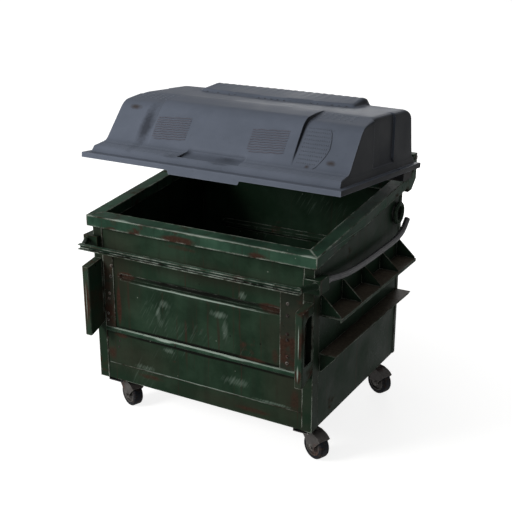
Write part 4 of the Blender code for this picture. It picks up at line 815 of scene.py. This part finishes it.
def make_bolts(finishes):
    """Bolts of the straps, the hinge arms and the caster plates, rivets of the front wall and axle nuts."""
    chance = random.Random(5)
    out = (0, -1, 0)
    turns = []
    for x in (STRAP_LOW.x + 0.058, LEFT_STRAP_HIGH.x - 0.040):
        lean = 0.0 if x > 0 else 0.028
        for z in BOLT_HEIGHTS:
            spot = (x + lean * (z - 1.0) / 0.22, STRAP_LOW.y, z)
            turns.append(facing(spot, out, roll=chance.uniform(0, 1)))
    settle(set_out(hex_bolt(8.5 * MM, 9 * MM), 'strap_bolts', turns), finishes['bolt'], 'root', 'zinc')
    rivets = [facing((x, WALL_LOW.y + 1.5 * MM, z), out, (1, 1, 0.5))
              for x, z in ((-0.834, 0.618), (-0.722, 0.612), (-0.831, 0.509), (-0.732, 0.560))]
    settle(set_out(blob(9 * MM, 10, 6), 'wall_rivets', rivets), finishes['bolt'], 'root', 'zinc')
    arm_bolts = []
    for side in ('right', 'left'):
        low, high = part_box('lid_' + side + '_hinge_arm')
        middle = (low[0] + high[0]) / 2 - (LID_HIGH.x + LID_LOW.x) / 2
        for x in (-0.045, 0.045):
            place = LID_TURN @ Vector((middle + x, -LID_REAR + 0.02 - 0.04, LIP_TOP + 8.5 * MM))
            arm_bolts.append(facing(place, LID_TURN.to_3x3() @ Vector((0, 0, 1))))
    settle(set_out(hex_bolt(8 * MM, 8 * MM), 'hinge_arm_bolts', arm_bolts), finishes['bolt'], 'lid', 'zinc')
    for end in ENDS:
        low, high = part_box(end + '_caster_plate')
        middle = Vector(((low[0] + high[0]) / 2, (low[1] + high[1]) / 2, low[2]))
        corners = [facing(middle + Vector((PLATE_BOLT * u, PLATE_BOLT * v, 0)), (0, 0, -1))
                   for u in (1, -1) for v in (1, -1)]
        settle(set_out(hex_bolt(6.5 * MM, 6 * MM), end + '_plate_bolts', corners), finishes['zinc'],
               'root', 'zinc')
        roll = JOINTS[end + '_roll']
        axle = Vector(roll['axis']).normalized()
        nuts = [facing(Vector(roll['pos_m']) + hand * axle * AXLE_HALF, hand * axle) for hand in (1, -1)]
        settle(set_out(hex_bolt(14 * MM, 12 * MM), end + '_axle_nuts', nuts), finishes['zinc'],
               end + '_swivel_fork', 'zinc')


def weld_bead(name, runs, size, finish, body='root', slot='body_paint'):
    """Fillet welds laid by hand: a row of overlapping puddles along each run."""
    chance = random.Random(len(name))
    turns = []
    for start, stop in runs:
        start = Vector(start)
        stop = Vector(stop)
        count = max(2, round((stop - start).length / (1.1 * size)))
        for k in range(count + 1):
            grow = chance.uniform(0.8, 1.15)
            turns.append(facing(start.lerp(stop, k / count), stop - start, (grow, grow, 0.95),
                                chance.uniform(0, 3)))
    settle(set_out(blob(size, 7, 4), name, turns), finish, body, slot)


def make_welds(finishes):
    """Fillet welds at the front corner angles, the rim's mitres, the pockets and the shelf gussets."""
    weld = finishes['weld']
    face = WALL_LOW.y - 0.5 * MM
    posts = []
    pockets = []
    for side in (1, -1):
        edge = side * (POST_LOW.x - 1.5 * MM)
        posts.append(((edge, face, WALL_LOW.z + 0.01), (edge, face, STRAP_LOW.z - 0.05)))
        posts.append(((edge, face, STRAP_HIGH.z + 0.01), (edge, face, WALL_HIGH.z - 0.01)))
        inner = side * (POCKET_LOW.x - MM)
        pockets.append(((inner, POCKET_HIGH.y, POCKET_LOW.z + 0.07),
                        (inner, POCKET_HIGH.y, POCKET_HIGH.z - 0.01)))
    weld_bead('corner_welds', posts, 4 * MM, weld)
    weld_bead('pocket_welds', pockets, 4 * MM, weld)
    rise = (RIM_HIGH.z - RIM_LOW.z - RIM_DEEP) / (RIM_HIGH.y - RIM_LOW.y)
    mitres = []
    for x in (1, -1):
        for y in (RIM_LOW.y, RIM_HIGH.y):
            outer = Vector((x * RIM_HIGH.x, y, 0))
            inner = outer - Vector((x * RIM_WIDE, math.copysign(RIM_WIDE, y), 0))
            for end in (outer, inner):
                end.z = RIM_LOW.z + RIM_DEEP + rise * (end.y - RIM_LOW.y) - 2 * MM
            mitres.append((outer, inner))
    weld_bead('rim_welds', mitres, 3 * MM, finishes['rim'], slot='rim_paint')
    gussets = []
    for side, sign in (('right', 1), ('left', -1)):
        low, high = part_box(side + '_fork_shelf')
        top = high[2] - SHELF_RISE
        reach = max(abs(low[0]), abs(high[0])) - 0.012
        for k in range(5):
            for hand in (-1, 1):
                y = low[1] + 0.011 + (high[1] - low[1] - 0.022) * k / 4 + hand * 4 * MM
                gussets.append(((sign * SIDE_FACE, y, top), (sign * reach, y, top)))
    weld_bead('gusset_welds', gussets, 3.5 * MM, weld)
    seam = [(x, WALL_LOW.y + MM, WALL_LOW.z + SEAM_RISE) for x in (WALL_LOW.x + 0.09, WALL_HIGH.x - 0.09)]
    weld_bead('front_seam', [seam], 3 * MM, weld)


def make_lid_clip(finish):
    """The small clip on the lid's right lip."""
    deselect()
    bpy.ops.mesh.primitive_cube_add(size=1)
    clip = bpy.context.object
    clip.name = 'lid_lip_clip'
    clip.scale = (0.030, 0.020, 0.004)
    bpy.ops.object.transform_apply(location=False, rotation=False, scale=True)
    bpy.ops.object.mode_set(mode='EDIT')
    bpy.ops.mesh.select_mode(type='EDGE')
    bpy.ops.mesh.select_all(action='SELECT')
    bpy.ops.mesh.bevel(offset=1.2 * MM, segments=2)
    bpy.ops.object.mode_set(mode='OBJECT')
    clip.data.transform(LID_TURN @ Matrix.Translation((LID_HALF - 0.018, -0.61, LIP_TOP + 2.4 * MM)))
    settle(clip, finish, 'lid', 'zinc')


def seen_rays(tree):
    """1 for the rays that show the stage as it looks: straight, off a glossy face or through glass."""
    path = add(tree, 'LightPath')
    seen = path.outputs['Is Camera Ray']
    for kind in ('Is Glossy Ray', 'Is Transmission Ray'):
        seen = add(tree, 'Math', {0: seen, 1: path.outputs[kind]}, operation='MAXIMUM')
    return seen


def make_stage():
    """Pale floor that shows white to the camera but keeps the object's shadow, and a soft world."""
    deselect()
    bpy.ops.mesh.primitive_plane_add(size=60)
    floor = bpy.context.object
    floor.name = 'studio_floor'
    material, tree, shader = blank('pale studio floor', 0.0)
    fill(tree, shader, {'Base Color': linear('#a6a6a4'), 'Roughness': 0.9})
    away = add(tree, 'VectorMath', {0: add(tree, 'TexCoord').outputs['Object']}, operation='LENGTH')
    level = add(tree, 'MapRange', {'Value': away, 'From Min': 1.2, 'From Max': 4.5, 'To Min': 0.84})
    glow = add(tree, 'Emission', {'Color': linear('#ffffff'), 'Strength': level})
    both = add(tree, 'AddShader', {0: shader, 1: glow})
    mixed = add(tree, 'MixShader', {0: seen_rays(tree), 1: shader, 2: both})
    fill(tree, tree.nodes['Material Output'], {'Surface': mixed})
    floor.data.materials.append(material)
    world = bpy.data.worlds.new('soft studio')
    world.use_nodes = True
    bpy.context.scene.world = world
    tree = world.node_tree
    light = tree.nodes['Background']
    # The sky is brightest over the front left, and dim on the right
    way = add(tree, 'TexCoord').outputs['Generated']
    turned = add(tree, 'VectorMath', {0: way, 1: (-0.62, -0.72, 0.31)}, operation='DOT_PRODUCT')
    strength = add(tree, 'MapRange', {'Value': turned, 'From Min': -0.1, 'From Max': 0.95,
                                      'To Min': 0.05, 'To Max': 0.75})
    fill(tree, light, {'Color': linear('#ffffff'), 'Strength': strength})
    white = add(tree, 'Background', {'Color': linear('#ffffff'), 'Strength': 1.0})
    mixed = add(tree, 'MixShader', {0: seen_rays(tree), 1: light, 2: white})
    fill(tree, tree.nodes['World Output'], {'Surface': mixed})


def aim(thing, target):
    """Turns a lamp to face a point."""
    thing.rotation_euler = (Vector(target) - thing.location).to_track_quat('-Z', 'Y').to_euler()


def make_lights():
    """A large key lamp from the front left and one behind."""
    middle = (0.0, 0.0, 1.1)
    for name, place, size, power in (('key', (-4.4, -6.6, 4.4), 2.4, 470.0),
                                     ('back', (-2.0, 7.5, 2.6), 4.0, 170.0)):
        lamp = bpy.data.lights.new(name, 'AREA')
        lamp.size = size
        lamp.energy = power
        holder = bpy.data.objects.new(name, lamp)
        bpy.context.scene.collection.objects.link(holder)
        holder.location = place
        aim(holder, middle)


def make_camera():
    """The photograph's viewpoint."""
    lens = bpy.data.cameras.new('view')
    lens.sensor_width = SENSOR
    lens.lens = LENS
    camera = bpy.data.objects.new('view', lens)
    bpy.context.scene.collection.objects.link(camera)
    camera.location = CAMERA_PLACE
    camera.rotation_euler = (math.pi / 2 - CAMERA_ELEVATION, 0.0, CAMERA_AZIMUTH)
    bpy.context.scene.camera = camera


def make_finishes():
    """Every finish of the object, by its plain name."""
    return {
        'body': worn_enamel('dark green enamel on sheet steel', '#18281c', '#243428', 3.1, 0.47),
        'post': worn_enamel('dark green enamel on corner angle', '#1c2c20', '#2f332a', 9.3, 0.53, 1.0),
        'shelf': worn_enamel('dirty enamel on shelf plate', '#203527', '#2d3a2e', 4.9, 0.50, 1.0, settled=0.85),
        'front': worn_enamel('dark green enamel on the pressed front sheet', '#1b2b1f', '#2c3e30', 3.1, 0.46,
                             rusty=FRONT_RUST, rubbed=FRONT_RUBS_AND_HIGHLIGHTS, film=FRONT_FILM, shade_bands=FRONT_SHADE_BANDS,
                             wear_and_highlight_lips=FRONT_HIGHLIGHT_AND_WEAR_LIPS),
        'strap': worn_enamel('rusted enamel on flat strap', '#242a22', '#37342c', 4.4, 0.60, 1.0),
        # The rim's wide edge spreads its pale chips into a line along the outer edge: worn paint, partly a painted
        # highlight
        'rim': worn_enamel('green enamel on box tube', '#22382c', '#365141', 7.7, 0.53, 1.0, edge=14 * MM,
                           rusty=RIM_RUST, wear_and_highlight_lips=RIM_HIGHLIGHT_AND_WEAR_LIPS),
        # The ledge's pale top line is a painted highlight
        'ledge': worn_enamel('enamel on ledge bar with a painted highlight', '#1c3325', '#2d4837', 6.1, 0.50, 1.0,
                             wear_and_highlight_lips=LEDGE_HIGHLIGHT_LIPS),
        'pocket': worn_enamel('rusted enamel on bent plate', '#24372b', '#34362c', 5.3, 0.56, 1.0,
                              rusty=POCKET_RUST, wear_and_highlight_lips=POCKET_LIPS, shade_in_crevices=0.35),
        'weld': worn_enamel('painted fillet weld', '#222f27', '#333f37', 2.2, 0.54, 0.5),
        'pipe': weathered_steel('weathered round bar', '#1d1d1f', '#4a4a4d', 0.42),
        'floor': weathered_steel('dirty floor sheet', '#1d1a18', '#3a332e', 0.56, 0.7, 0.2),
        'zinc': weathered_steel('dull zinc plating', '#0f0f11', '#625e5b', 0.50, 0.55, 0.25),
        'bolt': weathered_steel('rusted bolt steel', '#151312', '#3a332f', 0.52, 0.6, 0.3),
        'lid': moulded_polyethylene('moulded grey polyethylene', '#565c67', '#606672', 0.50, LID_PAINTED_SHADE,
                                    LID_STAINS),
        'lid_pale': moulded_polyethylene('rubbed grey polyethylene', '#6c727d', '#7a808a', 0.50),
        'grille': moulded_polyethylene('dusty brown polyethylene', '#4a4149', '#584e55', 0.55),
        # The dimples' darker grey than the lid is painted shade
        'dimple': moulded_polyethylene('grey polyethylene dimples', '#464b55', '#525762', 0.50),
        'hole_shade': moulded_polyethylene('painted shade of drain holes in polyethylene', '#232428', '#2e3034', 0.60),
        'pad': rubber('black rubber pad', '#101113', '#3a342e', 0.6),
        'tyre': rubber('wheel rubber', '#0d1016', '#3d3026', 0.6),
    }


def dress_frame(finishes):
    """Gives every CAD node its finish."""
    dress(finishes['body'], 'front_wall', 'rear_wall', 'right_wall', 'left_wall')
    dress(finishes['ledge'], 'front_ledge')
    dress(finishes['rim'], 'front_rim', 'rear_rim', 'right_rim', 'left_rim', 'front_lift_bar',
          'middle_hinge_plate')
    dress(finishes['floor'], 'floor_pan')
    dress(finishes['zinc'], 'hinge_rod')
    dress(finishes['lid'], 'lid_shell')
    for side in ('right', 'left'):
        dress(finishes['body'], side + '_lift_lug', side + '_rail_ring', 'rear_' + side + '_stiffener')
        dress(finishes['strap'], 'front_' + side + '_strap')
        dress(finishes['shelf'], side + '_fork_shelf', side + '_fork_guide')
        dress(finishes['rim'], side + '_hinge_post')
        dress(finishes['pocket'], 'front_' + side + '_pocket')
        dress(finishes['pipe'], side + '_side_rail', side + '_caster_channel')
        dress(finishes['zinc'], 'lid_' + side + '_hinge_arm')
        dress(finishes['pad'], 'lid_' + side + '_rest_pad')
    for end in ENDS:
        dress(finishes['post'], end + '_post')
        dress(finishes['zinc'], end + '_caster_plate', end + '_fork', end + '_hub')
        dress(finishes['tyre'], end + '_tyre')


bpy.context.scene.view_settings.view_transform = 'Standard'
make_camera()
make_stage()
make_lights()
finishes = make_finishes()
dress_frame(finishes)
make_lid_skin(finishes['lid'])
make_lid_details(finishes)
make_front_panel(finishes['front'])
make_bolts(finishes)
make_welds(finishes)
make_lid_clip(finishes['lid_pale'])
